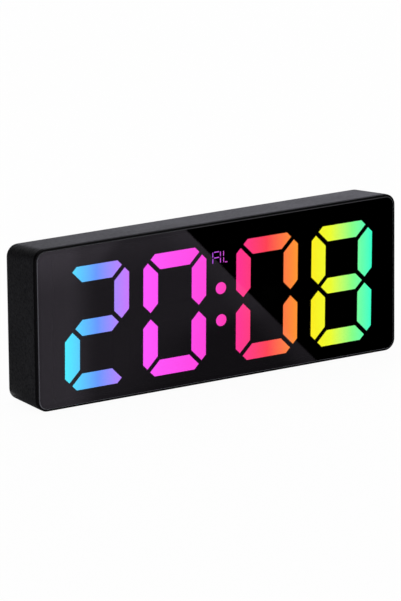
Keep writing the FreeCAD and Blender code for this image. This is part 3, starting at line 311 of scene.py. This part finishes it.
def foot_rubber():
    """Moulded black rubber: dull, with a dusty bloom."""
    return grained(
        "moulded_black_rubber", "141414", "2A2A2B",
        grain=0.5 * MM, stretch=1.0, depth=0.02 * MM, roughness=0.8, inputs={"IOR": 1.5},
    )


def nylon(name, dark, light, roughness=0.5):
    """Moulded nylon or epoxy: even, with a faint mottle."""
    return grained(
        name, dark, light, grain=0.6 * MM, stretch=1.0, depth=0.006 * MM, roughness=roughness,
    )


def pressed_metal(name, dark, light, roughness):
    """Plated sheet or wire: bright, with fine drawing marks."""
    return grained(
        name, dark, light, grain=0.25 * MM, stretch=8.0, depth=0.003 * MM, roughness=roughness,
        inputs={"Metallic": 1.0},
    )


def board_laminate():
    """Glass epoxy laminate with green resist: a square weave under a gloss coat.

    The real threads are about 0.5 mm apart and are drawn at 3.77 mm so that they show.
    """
    material = new_material("green_board_laminate")
    tree = material.node_tree
    place = add_node(tree, "ShaderNodeTexCoord")
    warp, weft = (
        add_node(tree, "ShaderNodeTexWave", {
            "Vector": place.outputs["Object"], "Scale": WAVE_SPACING / WEAVE_SPACING,
            "Distortion": 0.4,
        }, bands_direction=direction) for direction in "XZ"
    )
    both = add_node(tree, "ShaderNodeMath", {
        0: warp.outputs["Fac"], 1: weft.outputs["Fac"],
    }, operation="MULTIPLY")
    tint = add_node(tree, "ShaderNodeValToRGB", {"Fac": both.outputs["Value"]})
    fill_ramp(tint, [(0.0, linear("0C3A22")), (1.0, linear("145636"))])
    surface = add_node(tree, "ShaderNodeBsdfPrincipled", {
        "Base Color": tint.outputs["Color"], "Roughness": 0.35, "Coat Weight": 0.4,
    })
    add_node(tree, "ShaderNodeOutputMaterial", {"Surface": surface.outputs["BSDF"]})
    return material


def smoked_acrylic(settings):
    """Smoked acrylic sheet: polished faces that dim and mirror, and a frosted bevel that greys.

    A painted highlight makes the bevel palest along the sheet's lower edge.
    """
    material = new_material("smoked_acrylic")
    tree = material.node_tree
    place = add_node(tree, "ShaderNodeTexCoord")
    haze = add_node(tree, "ShaderNodeTexNoise", {
        "Vector": place.outputs["Object"], "Scale": 1 / HAZE_SIZE, "Detail": 1.0,
    })
    polish = add_node(tree, "ShaderNodeMapRange", {
        "Value": haze.outputs["Fac"], "To Min": 0.0, "To Max": HAZE_ROUGHNESS,
    })
    facing = add_node(tree, "ShaderNodeSeparateXYZ", {"Vector": place.outputs["Normal"]})
    level = add_node(tree, "ShaderNodeMath", {0: facing.outputs["Y"]}, operation="ABSOLUTE")
    flat = add_node(tree, "ShaderNodeMath", {
        0: level.outputs["Value"], 1: FLAT_FACING,
    }, operation="GREATER_THAN")
    # Painted highlight: the bevel's tone is painted pale where it faces down and dark where it
    # faces up
    upwards = add_node(tree, "ShaderNodeMapRange", {
        "Value": facing.outputs["Z"], "From Min": -BEVEL_SLOPE, "From Max": BEVEL_SLOPE,
    })
    ground_tone_and_painted_highlight = add_node(tree, "ShaderNodeMixRGB", {
        "Fac": upwards.outputs["Result"],
        "Color1": linear("7A7A82"),
        "Color2": linear("38383C"),
    })
    tone = settings.lens_pass
    tint = add_node(tree, "ShaderNodeMixRGB", {
        "Fac": flat.outputs["Value"],
        "Color1": ground_tone_and_painted_highlight.outputs["Color"],
        "Color2": (tone, tone, tone, 1.0),
    })
    rough = add_node(tree, "ShaderNodeMapRange", {
        "Value": flat.outputs["Value"], "To Min": 0.5, "To Max": polish.outputs["Result"],
    })
    surface = add_node(tree, "ShaderNodeBsdfPrincipled", {
        "Base Color": tint.outputs["Color"],
        "Roughness": rough.outputs["Result"],
        "IOR": 1.49,
        "Transmission Weight": flat.outputs["Value"],
    })
    add_node(tree, "ShaderNodeOutputMaterial", {"Surface": surface.outputs["BSDF"]})
    return material


def spread_colours(runs):
    """The runs' colours as (X, colour) pairs, with each node's spread from edge to edge."""
    stops = []
    for node, colours in runs.items():
        low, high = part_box(node)
        gap = (high.x - low.x) / (len(colours) - 1)
        stops += [(low.x + gap * i, code) for i, code in enumerate(colours)]
    return stops


def lit_diffuser(name, runs, level):
    """Frosted polystyrene lit from behind: an even glow whose colour runs along the display."""
    material = new_material(name)
    tree = material.node_tree
    stops = spread_colours(runs)
    low, high = stops[0][0], stops[-1][0]
    place = add_node(tree, "ShaderNodeTexCoord")
    along = add_node(tree, "ShaderNodeSeparateXYZ", {"Vector": place.outputs["Object"]})
    share = add_node(tree, "ShaderNodeMapRange", {
        "Value": along.outputs["X"], "From Min": low, "From Max": high,
    })
    glow = add_node(tree, "ShaderNodeValToRGB", {"Fac": share.outputs["Result"]})
    span = high - low
    fill_ramp(glow, [((x - low) / span, linear(code)) for x, code in stops])
    surface = add_node(tree, "ShaderNodeBsdfPrincipled", {
        "Base Color": linear("1C1C1E"),
        "Roughness": 0.6,
        "Emission Color": glow.outputs["Color"],
        "Emission Strength": level,
    })
    add_node(tree, "ShaderNodeOutputMaterial", {"Surface": surface.outputs["BSDF"]})
    return material


def finish(material, *nodes):
    """Gives CAD nodes that material."""
    for name in nodes:
        slots = NODES[name].data.materials
        slots.clear()
        slots.append(material)


# Pieces

def choose(*pieces):
    """Selects those objects alone and makes the first one active."""
    bpy.ops.object.select_all(action="DESELECT")
    for piece in pieces:
        piece.select_set(True)
    bpy.context.view_layer.objects.active = pieces[0]


def close_mesh(piece):
    """Merges doubled points, fills open ends and turns all faces outwards."""
    choose(piece)
    bpy.ops.object.mode_set(mode="EDIT")
    bpy.ops.mesh.select_all(action="SELECT")
    bpy.ops.mesh.remove_doubles(threshold=MERGE_DISTANCE)
    bpy.ops.mesh.fill_holes(sides=0)
    bpy.ops.mesh.select_all(action="SELECT")
    bpy.ops.mesh.normals_make_consistent(inside=False)
    bpy.ops.object.mode_set(mode="OBJECT")
    bpy.ops.object.shade_smooth_by_angle(angle=SMOOTH_ANGLE)


def spun(name, outline, steps):
    """A solid turned about X from (distance, radius) points that start and end on the axis.

    One point is drawn out from the origin along the outline, and the line is spun.
    """
    bpy.ops.mesh.primitive_plane_add(size=MM)
    piece = bpy.context.object
    piece.name = name
    bpy.ops.object.mode_set(mode="EDIT")
    bpy.ops.mesh.merge(type="CENTER")
    for (along, radius), (next_along, next_radius) in zip(outline, outline[1:]):
        step = (next_along - along, next_radius - radius, 0.0)
        bpy.ops.mesh.extrude_vertices_move(
            TRANSFORM_OT_translate={"value": [length * MM for length in step]}
        )
    bpy.ops.mesh.select_all(action="SELECT")
    bpy.ops.mesh.spin(steps=steps, angle=2 * math.pi, center=(0, 0, 0), axis=(1, 0, 0))
    bpy.ops.object.mode_set(mode="OBJECT")
    close_mesh(piece)
    return piece


def apply_modifier(piece, kind, **settings):
    """Gives the piece a modifier of that kind and applies it."""
    choose(piece)
    modifier = piece.modifiers.new(kind, kind)
    for name, value in settings.items():
        setattr(modifier, name, value)
    bpy.ops.object.modifier_apply(modifier=modifier.name)


def set_down(piece, name, places):
    """Copies the piece's mesh to each place, a matrix, and joins the copies to one object."""
    copies = []
    for place in places:
        mesh = piece.data.copy()
        mesh.transform(place)
        copy = bpy.data.objects.new(name, mesh)
        bpy.context.collection.objects.link(copy)
        copies.append(copy)
    bpy.data.objects.remove(piece)
    choose(*copies)
    bpy.ops.object.join()
    return copies[0]


def wrapped_cell(node, steel, wrap, band, paper):
    """A wrapped cell in place of the CAD one: sleeve with rolled ends, paper washer and button."""
    low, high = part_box(node)
    spring_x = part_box(node.replace("cell", "contact_spring"))[0].x
    cell = spun(node + "_wrapped", CELL_OUTLINE, CELL_FACETS)
    for material in (steel, wrap, band, paper):
        cell.data.materials.append(material)
    for face in cell.data.polygons:
        along = face.center.x / MM
        radius = math.hypot(face.center.y, face.center.z) / MM
        if radius > WRAP_INNER:
            face.material_index = 2 if along > BAND_START else 1
        elif radius > WASHER_INNER and along > BAND_START:
            face.material_index = 3
    bare_end = low.x if spring_x < low.x else high.x
    turn = 0.0 if spring_x < low.x else math.pi
    middle = (low + high) / 2
    cell.data.transform(
        Matrix.Translation((bare_end, middle.y, middle.z)) @ Matrix.Rotation(turn, 4, "Z")
    )
    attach(cell, "case")
    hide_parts(node)


def edged_panes(node, edge, lit, dim):
    """The node's panes with a dim edge, which the walls of the light box's cells shade."""
    panes = bpy.data.objects.new(node + "_edged", NODES[node].data.copy())
    bpy.context.collection.objects.link(panes)
    panes.data.materials.clear()
    for material in (lit, dim):
        panes.data.materials.append(material)
    choose(panes)
    bpy.ops.mesh.customdata_custom_splitnormals_clear()
    close_mesh(panes)
    bpy.ops.object.mode_set(mode="EDIT")
    bpy.ops.mesh.select_mode(type="FACE")
    bpy.ops.mesh.select_all(action="SELECT")
    bpy.ops.mesh.dissolve_limited(angle_limit=FLAT_ANGLE)
    bpy.ops.object.mode_set(mode="OBJECT")
    front = min(point.co.y for point in panes.data.vertices)
    for face in panes.data.polygons:
        face.select = face.center.y < front + FRONT_TOLERANCE
    bpy.ops.object.mode_set(mode="EDIT")
    bpy.ops.mesh.inset(thickness=edge, use_individual=True)
    bpy.ops.mesh.select_mode(type="VERT")
    bpy.ops.object.mode_set(mode="OBJECT")
    for face in panes.data.polygons:
        face.material_index = 0 if face.select else 1
    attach(panes, "case")
    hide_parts(node)


def cross_recess(screw):
    """Cuts the tapered cross for the driver into the screw's crown at the origin."""
    for turn in (0.0, math.pi / 2):
        bpy.ops.mesh.primitive_cone_add(
            vertices=4, radius1=RECESS_LENGTH * MM / math.sqrt(2),
            radius2=RECESS_LENGTH * MM / math.sqrt(8), depth=2 * RECESS_DEPTH * MM,
        )
        wing = bpy.context.object
        squared = Matrix.Rotation(math.pi / 4, 4, "Z")
        flattened = Matrix.Diagonal((1.0, RECESS_WIDTH / RECESS_LENGTH, 1.0, 1.0))
        laid = Matrix.Rotation(turn, 4, "X") @ Matrix.Rotation(math.pi / 2, 4, "Y")
        wing.data.transform(laid @ flattened @ squared)
        apply_modifier(screw, "BOOLEAN", operation="DIFFERENCE", object=wing, solver="EXACT")
        bpy.data.objects.remove(wing)


def threaded_screws(metal):
    """Thread forming case screws in place of the CAD ones: pan head, cross recess and thread.

    The ridge starts as a triangle in a circle of radius 1, so it is 1.5 tall and sqrt(3) wide.
    """
    screw = spun("screw", SCREW_OUTLINE, SCREW_FACETS)
    cross_recess(screw)
    crest = (THREAD_RADIUS - THREAD_ROOT) / 1.5 * MM
    flank = THREAD_WIDTH / math.sqrt(3) * MM
    bpy.ops.mesh.primitive_circle_add(vertices=3, radius=1.0)
    thread = bpy.context.object
    ridge = Matrix.Diagonal((flank, crest, 1.0, 1.0))
    thread.data.transform(
        Matrix.Translation((THREAD_START * MM, THREAD_ROOT * MM + crest / 2, 0.0)) @ ridge
    )
    apply_modifier(
        thread, "SCREW", axis="X", screw_offset=THREAD_PITCH * MM, iterations=THREAD_TURNS,
        steps=THREAD_FACETS, render_steps=THREAD_FACETS,
        use_merge_vertices=True, merge_threshold=MERGE_DISTANCE,
    )
    close_mesh(thread)
    choose(screw, thread)
    bpy.ops.object.join()
    bpy.ops.object.shade_smooth_by_angle(angle=SMOOTH_ANGLE)
    low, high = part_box("case_screws")
    reach = SCREW_HEAD_RADIUS * MM
    outwards = Matrix.Rotation(-math.pi / 2, 4, "Z")
    places = [
        Matrix.Translation((x, high.y, z)) @ outwards
        for x in (low.x + reach, high.x - reach) for z in (low.z + reach, high.z - reach)
    ]
    screws = set_down(screw, "case_screws_threaded", places)
    screws.data.materials.append(metal)
    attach(screws, "case")
    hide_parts("case_screws")


def inlet_contacts(gold):
    """Gold contact strips let into both faces of the inlet's tongue."""
    low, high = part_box("inlet_tongue")
    width, length, thick = (size * MM for size in STRIP_SIZE)
    bpy.ops.mesh.primitive_cube_add(size=1.0)
    strip = bpy.context.object
    strip.data.transform(Matrix.Diagonal((width, length, thick, 1.0)))
    apply_modifier(strip, "BEVEL", width=STRIP_BEVEL * MM, segments=2)
    apply_modifier(
        strip, "ARRAY", count=STRIP_COUNT, use_relative_offset=False, use_constant_offset=True,
        constant_offset_displace=(STRIP_PITCH * MM, 0.0, 0.0),
    )
    first = (low.x + high.x) / 2 - (STRIP_COUNT - 1) / 2 * STRIP_PITCH * MM
    back = high.y - STRIP_SETBACK * MM - length / 2
    sunk = thick / 2 - STRIP_PROUD * MM
    places = [Matrix.Translation((first, back, z)) for z in (low.z + sunk, high.z - sunk)]
    strips = set_down(strip, "inlet_contacts", places)
    strips.data.materials.append(gold)
    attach(strips, "case")


class ClockFinish(PropertyGroup):
    """Colours, sizes and levels of the clock's finishes."""
    case_pits: FloatVectorProperty(
        name="Case pits", description="Colour of the shell in the pits of its grain",
        default=linear("09090B"), size=4, min=0.0, max=1.0, subtype="COLOR",
    )
    case_peaks: FloatVectorProperty(
        name="Case peaks", description="Colour of the shell on the peaks of its grain",
        default=linear("131316"), size=4, min=0.0, max=1.0, subtype="COLOR",
    )
    band_dark: FloatVectorProperty(
        name="Band, dark", description="Darker tone of the coloured band on the cells' sleeves",
        default=linear("1F4E86"), size=4, min=0.0, max=1.0, subtype="COLOR",
    )
    band_light: FloatVectorProperty(
        name="Band, light", description="Lighter tone of the coloured band on the cells' sleeves",
        default=linear("2A5F9C"), size=4, min=0.0, max=1.0, subtype="COLOR",
    )
    grain_size: FloatProperty(
        name="Grain size", description="Spacing of the shell's moulded grain",
        default=0.9 * MM, unit="LENGTH",
    )
    grain_depth: FloatProperty(
        name="Grain depth", description="Depth of the shell's moulded grain",
        default=0.12 * MM, unit="LENGTH",
    )
    case_roughness: FloatProperty(
        name="Case roughness", description="Roughness of the shell between its grains",
        default=0.5, subtype="FACTOR",
    )
    lens_pass: FloatProperty(
        name="Lens pass", description="Share of light that the smoked lens lets through",
        default=0.12, subtype="FACTOR",
    )
    card_level: FloatProperty(
        name="Card level",
        description="Brightness of the card whose mirror image is the lens's sheen",
        default=0.285,
    )
    display_level: FloatProperty(
        name="Display level", description="Strength of the display's glow behind the lens",
        default=9.0,
    )
    edge_level: FloatProperty(
        name="Edge level",
        description="Glow at the edge of a pane, as a share of that in its middle",
        default=0.1, subtype="FACTOR",
    )
    edge_width: FloatProperty(
        name="Edge width", description="Width of a pane's dim edge",
        default=0.15 * MM, unit="LENGTH",
    )
    letter_edge: FloatProperty(
        name="Letter edge", description="Width of the dim edge of a letter's stroke",
        default=0.08 * MM, unit="LENGTH",
    )


class ClockView(PropertyGroup):
    """The photograph's camera."""
    azimuth: FloatProperty(
        name="Azimuth", description="Turn of the camera to the left of the front",
        default=math.radians(-32.23), subtype="ANGLE",
    )
    elevation: FloatProperty(
        name="Elevation", description="Height of the camera above the horizon",
        default=math.radians(14.81), subtype="ANGLE",
    )
    roll: FloatProperty(
        name="Roll", description="Turn of the camera about its own line of sight",
        default=math.radians(-0.55), subtype="ANGLE",
    )
    distance: FloatProperty(
        name="Distance", description="Camera to the point it looks at",
        default=1.892, unit="LENGTH",
    )
    aim: FloatVectorProperty(
        name="Aim", description="Point in the middle of the picture",
        default=(-1.40 * MM, -0.23 * MM, 29.95 * MM), subtype="TRANSLATION",
    )
    focal_length: FloatProperty(
        name="Focal length", description="In millimetres, for a sensor 36 mm tall", default=294.44,
    )


class CLOCK_OT_case(Operator):
    """Finish the shell, the battery door, the front frame and the feet."""
    bl_idname = "clock.case"
    bl_label = "Case"

    def execute(self, context):
        finish(case_abs(context.scene.clock_finish), "rear_shell", "battery_door")
        finish(frame_abs(), "front_frame")
        finish(foot_rubber(), "foot_pads")
        return {"FINISHED"}


class CLOCK_OT_display(Operator):
    """Finish the lens, the light box and the lit and unlit diffusers."""
    bl_idname = "clock.display"
    bl_label = "Display"

    def execute(self, context):
        settings = context.scene.clock_finish
        finish(smoked_acrylic(settings), "front_lens")
        mask = grained(
            "black_mask_abs", "020202", "040404", grain=0.6 * MM, stretch=1.0, depth=0.006 * MM,
            roughness=0.9, shine=(0.15, 0.25),
        )
        finish(mask, "light_box", "lens_tape")
        full = settings.display_level
        low = full * settings.edge_level
        lit = lit_diffuser("lit_display_diffuser", DISPLAY_COLOURS, full)
        dim = lit_diffuser("shaded_display_diffuser", DISPLAY_COLOURS, low)
        for name in nodes_named("digit_") + ["colon_panes"]:
            edged_panes(name, settings.edge_width, lit, dim)
        lit = lit_diffuser("lit_letter_guide", LETTER_COLOURS, full)
        dim = lit_diffuser("shaded_letter_guide", LETTER_COLOURS, low)
        edged_panes("alarm_indicator", settings.letter_edge, lit, dim)
        finish(nylon("dark_smoked_diffuser", "030303", "050505", 0.6), "unlit_panes")
        return {"FINISHED"}


class CLOCK_OT_controls(Operator):
    """Finish the keys, the slider, the switches and the buzzer, and add the inlet's contacts."""
    bl_idname = "clock.controls"
    bl_label = "Controls"

    def execute(self, context):
        finish(key_abs(), *nodes_named("key_"), "alarm_slider")
        switches = nylon("black_switch_nylon", "141416", "1E1E20")
        finish(switches, *nodes_named("plunger_"), "tact_switches", "switch_lever")
        finish(nylon("black_inlet_nylon", "101011", "17171A", 0.42), "inlet_tongue", "buzzer")
        nickel = pressed_metal("bright_nickel_plate", "B9B6AF", "D2CFC8", 0.24)
        finish(nickel, "power_inlet", "switch_can")
        inlet_contacts(pressed_metal("gold_flash_plate", "CFA04A", "E5BD69", 0.22))
        return {"FINISHED"}


class CLOCK_OT_boards(Operator):
    """Finish the two boards and what is soldered to them."""
    bl_idname = "clock.boards"
    bl_label = "Boards"

    def execute(self, context):
        finish(board_laminate(), "display_board", "control_board")
        finish(nylon("chip_epoxy", "161616", "202020", 0.55), "driver_chips", "clock_chip")
        finish(nylon("pale_lamp_resin", "CFC9A6", "E4DFC2", 0.3), "display_leds")
        finish(pressed_metal("drawn_crystal_can", "A8A8A8", "C6C6C6", 0.22), "timing_crystal")
        finish(nylon("blue_black_sleeve", "12131F", "1A1C2C", 0.3), "smoothing_capacitor")
        finish(nylon("grey_ribbon_jacket", "8B8C90", "9FA0A4", 0.5), "board_cable")
        return {"FINISHED"}


class CLOCK_OT_battery(Operator):
    """Wrap the cells and finish their springs and contact plates."""
    bl_idname = "clock.battery"
    bl_label = "Battery"

    def execute(self, context):
        springs = nodes_named("contact_spring")
        plates = [name for name in nodes_named("contact_") if name not in springs]
        steel = pressed_metal("tinned_steel_can", "A9ABAD", "C8C9CA", 0.28)
        wrap = nylon("graphite_shrink_wrap", "2B2E33", "3A3E45", 0.3)
        settings = context.scene.clock_finish
        band = nylon("blue_shrink_wrap", settings.band_dark, settings.band_light, 0.3)
        paper = nylon("white_paper_washer", "D8D6CE", "ECEAE2", 0.8)
        for name in nodes_named("cell_"):
            wrapped_cell(name, steel, wrap, band, paper)
        finish(pressed_metal("nickel_spring_wire", "ACABA6", "C9C7C1", 0.25), *springs)
        finish(pressed_metal("nickel_contact_sheet", "B2B0AA", "CFCDC7", 0.3), *plates)
        return {"FINISHED"}


class CLOCK_OT_screws(Operator):
    """Cut threads and cross recesses on the case screws and finish all screws."""
    bl_idname = "clock.screws"
    bl_label = "Screws"

    def execute(self, context):
        zinc = pressed_metal("bright_zinc_plate", "8E9094", "B4B6BA", 0.32)
        finish(zinc, "display_screws", "control_screws")
        threaded_screws(zinc)
        return {"FINISHED"}


# Studio

def ranged(tree, value, low, high, first, last):
    """Runs smoothly from first at low to last at high."""
    return add_node(tree, "ShaderNodeMapRange", {
        "Value": value, "From Min": low, "From Max": high, "To Min": first, "To Max": last,
    }, interpolation_type="SMOOTHSTEP").outputs["Result"]


def ranged_straight(tree, value, low, high, first, last):
    """Runs evenly from first at low to last at high, and on beyond both."""
    return add_node(tree, "ShaderNodeMapRange", {
        "Value": value, "From Min": low, "From Max": high, "To Min": first, "To Max": last,
    }, clamp=False).outputs["Result"]


def joined(tree, how, *values):
    """The values joined by one arithmetic operation."""
    total = values[0]
    for value in values[1:]:
        both = add_node(tree, "ShaderNodeMath", {0: total, 1: value}, operation=how)
        total = both.outputs["Value"]
    return total


def glowing(material, colour, level):
    """Makes the material an even light of that colour, and returns it."""
    tree = material.node_tree
    glow = add_node(tree, "ShaderNodeEmission", {"Color": linear(colour), "Strength": level})
    add_node(tree, "ShaderNodeOutputMaterial", {"Surface": glow.outputs["Emission"]})
    return material


def seen_rays(tree, *kinds):
    """1 for the kinds of rays that see the stage as a picture, and 0 for those it lights."""
    path = add_node(tree, "ShaderNodeLightPath")
    return joined(tree, "MAXIMUM", *(path.outputs[kind] for kind in kinds))


def white_world():
    """A white background to look at, and a gentle even fill on the object."""
    world = bpy.data.worlds.new("white_studio")
    world.use_nodes = True
    tree = world.node_tree
    tree.nodes.clear()
    strength = add_node(tree, "ShaderNodeMapRange", {
        "Value": seen_rays(tree, "Is Camera Ray", "Is Transmission Ray"),
        "To Min": WORLD_FILL,
        "To Max": 1.0,
    })
    sky = add_node(tree, "ShaderNodeBackground", {
        "Color": (1.0, 1.0, 1.0, 1.0), "Strength": strength.outputs["Result"],
    })
    add_node(tree, "ShaderNodeOutputWorld", {"Surface": sky.outputs["Background"]})
    return world


def pale_floor():
    """Matt white sweep: mostly its own white, with the object's shadow kept."""
    material = new_material("white_sweep")
    tree = material.node_tree
    matt = add_node(tree, "ShaderNodeBsdfDiffuse", {"Color": linear("FAFAFA")})
    glow = add_node(tree, "ShaderNodeEmission", {
        "Color": (1.0, 1.0, 1.0, 1.0), "Strength": FLOOR_LEVEL,
    })
    seen = seen_rays(tree, "Is Camera Ray", "Is Glossy Ray", "Is Transmission Ray")
    both = add_node(tree, "ShaderNodeMixShader", {
        0: joined(tree, "MULTIPLY", seen, FLOOR_SHARE),
        1: matt.outputs["BSDF"],
        2: glow.outputs["Emission"],
    })
    add_node(tree, "ShaderNodeOutputMaterial", {"Surface": both.outputs["Shader"]})
    return material


def slanted_card(scene):
    """A grey card with slanting edges on black velvet: its mirror image is the sheen on the lens.

    The card is drawn by the lens point (across, height) in which the camera sees each of its
    points. That lens point lies at a share of the way from the point's mirror image to the camera.
    """
    camera_x, camera_y, camera_z = camera_position(scene.clock_view)
    material = new_material("grey_card_on_velvet")
    tree = material.node_tree
    place = add_node(tree, "ShaderNodeTexCoord")
    spot = add_node(tree, "ShaderNodeSeparateXYZ", {"Vector": place.outputs["Object"]})
    spot_x = spot.outputs["X"]
    depth = ranged_straight(tree, spot.outputs["Y"], LENS_FRONT, camera_y, 0.0, 1.0)
    share = joined(tree, "DIVIDE", depth, joined(tree, "ADD", depth, 1.0))
    height = joined(tree, "MULTIPLY", share, camera_z)
    nearer = joined(tree, "SUBTRACT", spot_x, joined(tree, "MULTIPLY", share, spot_x))
    across = joined(tree, "ADD", nearer, joined(tree, "MULTIPLY", share, camera_x))
    falling = joined(tree, "ADD", across, joined(tree, "MULTIPLY", height, EDGE_SLOPE))
    rising = joined(tree, "SUBTRACT", across, height)

    def fade(value, span):
        """A smooth run over a span whose ends are in millimetres."""
        start, end, first, last = span
        return ranged(tree, value, start * MM, end * MM, first, last)

    sides = joined(tree, "MAXIMUM", fade(across, CARD_STRIP), fade(rising, CARD_CORNER))
    base = joined(tree, "MULTIPLY", fade(height, CARD_HIGH), sides)
    folded = joined(tree, "MULTIPLY", fade(height, CARD_LOW), fade(rising, CARD_FOLD))
    lit = joined(tree, "ADD", joined(tree, "SUBTRACT", base, folded), fade(falling, CARD_EDGE))
    card_level = scene.clock_finish.card_level
    return glowing(
        material, "F3E7FB", joined(tree, "MULTIPLY", lit, fade(falling, CARD_CUT), card_level)
    )


def back_card():
    """A grey backdrop that pales to the right: it greys the top of the case and not its corner."""
    material = new_material("grey_backdrop")
    tree = material.node_tree
    place = add_node(tree, "ShaderNodeTexCoord")
    spot = add_node(tree, "ShaderNodeSeparateXYZ", {"Vector": place.outputs["Object"]})
    sideways = ranged(tree, spot.outputs["X"], *BACKDROP_SIDEWAYS)
    upwards = ranged(tree, spot.outputs["Z"], *BACKDROP_UPWARDS)
    return glowing(material, "F0EFFF", joined(tree, "MULTIPLY", sideways, upwards))


def even_card(name, level):
    """A card of one even brightness."""
    return glowing(new_material(name), "F4F5FF", level)


def add_sheet(name, corners, material):
    """A flat stage sheet from its corners."""
    mesh = bpy.data.meshes.new(name)
    mesh.from_pydata(corners, [], [range(len(corners))])
    sheet = bpy.data.objects.new(name, mesh)
    mesh.materials.append(material)
    bpy.context.collection.objects.link(sheet)
    return sheet


def add_card(name, corners, material):
    """A card that the photographer holds out of the picture, which mirrors alone show."""
    card = add_sheet(name, corners, material)
    card.visible_camera = False
    card.visible_diffuse = False
    card.visible_shadow = False
    card.visible_volume_scatter = False


def level_corners(left, right, front, back, height):
    """The corners of a level rectangle."""
    flat = [(left, front), (right, front), (right, back), (left, back)]
    return [(*corner, height) for corner in flat]


def upright_corners(start, end):
    """The corners of a card that stands from one floor point to the other."""
    return [(*start, CARD_LIFT), (*end, CARD_LIFT), (*end, CARD_TOP), (*start, CARD_TOP)]


def add_cards(scene):
    """Places the cards about the object: in front, under and beside it, to the left and behind."""
    low, high = CAD_BOX
    front, back = low.y - FRONT_GAP, high.y + BACK_GAP
    left, right = low.x - SIDE_GAP, high.x + SIDE_GAP
    add_card(
        "front_card",
        level_corners(FRONT_CARD_LEFT, FRONT_CARD_RIGHT, FRONT_CARD_FRONT, front, CARD_LIFT),
        slanted_card(scene),
    )
    # Under the case the grey card is a painted shadow: in mirrors it stands for the floor's shade
    # there, which the floor's own white hides; to the left of the case it is a plain grey card
    under = [
        (LEFT_CARD_X, front), (right, front), (right, back), (left, back),
        (left, BACK_CARD_Y), (LEFT_CARD_X, BACK_CARD_Y),
    ]
    felt_and_painted_shadow = even_card("grey_felt", FELT_AND_PAINTED_SHADOW_LEVEL)
    add_card("under_card", [(*corner, CARD_LIFT) for corner in under], felt_and_painted_shadow)
    beside = upright_corners((LEFT_CARD_X, LEFT_CARD_FRONT), (LEFT_CARD_X, BACK_CARD_Y))
    add_card("left_card", beside, even_card("black_velvet", VELVET_LEVEL))
    behind = upright_corners((BACK_CARD_LEFT, BACK_CARD_Y), (BACK_CARD_RIGHT, BACK_CARD_Y))
    add_card("back_card", behind, back_card())


def add_light(name, place, size, power):
    """A softbox that faces the object."""
    lamp = bpy.data.lights.new(name, "AREA")
    lamp.shape = "RECTANGLE"
    lamp.size, lamp.size_y = size
    lamp.energy = power
    light = bpy.data.objects.new(name, lamp)
    light.location = place
    sight = Vector(SOFTBOX_TARGET) - Vector(place)
    light.rotation_euler = sight.to_track_quat("-Z", "Y").to_euler()
    bpy.context.collection.objects.link(light)


class CLOCK_OT_stage(Operator):
    """Set up the floor, the lights, the background and the camera."""
    bl_idname = "clock.stage"
    bl_label = "Stage"

    def execute(self, context):
        scene = context.scene
        scene.view_settings.view_transform = "Standard"
        scene.world = white_world()
        reach = FLOOR_REACH
        add_sheet("floor", level_corners(-reach, reach, -reach, reach, 0.0), pale_floor())
        add_cards(scene)
        for softbox in SOFTBOXES:
            add_light(*softbox)
        add_camera(scene)
        return {"FINISHED"}


def camera_axes(view):
    """The camera's right, up and backward directions before its roll."""
    back = Vector((
        math.sin(view.azimuth) * math.cos(view.elevation),
        -math.cos(view.azimuth) * math.cos(view.elevation),
        math.sin(view.elevation),
    ))
    right = Vector((math.cos(view.azimuth), math.sin(view.azimuth), 0.0))
    return right, back.cross(right), back


def camera_position(view):
    """Where the camera stands."""
    return Vector(view.aim) + camera_axes(view)[2] * view.distance


def add_camera(scene):
    """Stands the camera where the photograph's was."""
    view = scene.clock_view
    right, up, back = camera_axes(view)
    turned_right = right * math.cos(view.roll) + up * math.sin(view.roll)
    turned_up = up * math.cos(view.roll) - right * math.sin(view.roll)
    data = bpy.data.cameras.new("camera")
    data.sensor_fit = "VERTICAL"
    data.sensor_height = SENSOR_HEIGHT
    data.lens = view.focal_length
    data.clip_end = VIEW_END
    camera = bpy.data.objects.new("camera", data)
    rows = Matrix((turned_right, turned_up, back)).transposed()
    camera.matrix_world = Matrix.Translation(camera_position(view)) @ rows.to_4x4()
    bpy.context.collection.objects.link(camera)
    scene.camera = camera


OPERATORS = (
    CLOCK_OT_case, CLOCK_OT_display, CLOCK_OT_controls, CLOCK_OT_boards, CLOCK_OT_battery,
    CLOCK_OT_screws, CLOCK_OT_stage,
)


class CLOCK_PT_sidebar(Panel):
    """The clock's steps and settings in the sidebar."""
    bl_idname = "CLOCK_PT_sidebar"
    bl_label = "Desk Clock"
    bl_space_type = "VIEW_3D"
    bl_region_type = "UI"
    bl_category = "Clock"

    def draw(self, context):
        for operator in OPERATORS:
            self.layout.operator(operator.bl_idname)
        for group in (context.scene.clock_finish, context.scene.clock_view):
            for name in group.__annotations__:
                self.layout.prop(group, name)


CLASSES = (ClockFinish, ClockView, *OPERATORS, CLOCK_PT_sidebar)


def register():
    for each in CLASSES:
        bpy.utils.register_class(each)
    bpy.types.Scene.clock_finish = PointerProperty(type=ClockFinish)
    bpy.types.Scene.clock_view = PointerProperty(type=ClockView)


def unregister():
    del bpy.types.Scene.clock_view
    del bpy.types.Scene.clock_finish
    for each in reversed(CLASSES):
        bpy.utils.unregister_class(each)


def main():
    """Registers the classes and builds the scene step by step."""
    register()
    bpy.ops.object.select_all(action="DESELECT")
    for operator in OPERATORS:
        name = operator.bl_idname.split(".")[1]
        if getattr(bpy.ops.clock, name)() != {"FINISHED"}:
            raise RuntimeError(name + " did not finish")


if __name__ == "__main__":
    main()
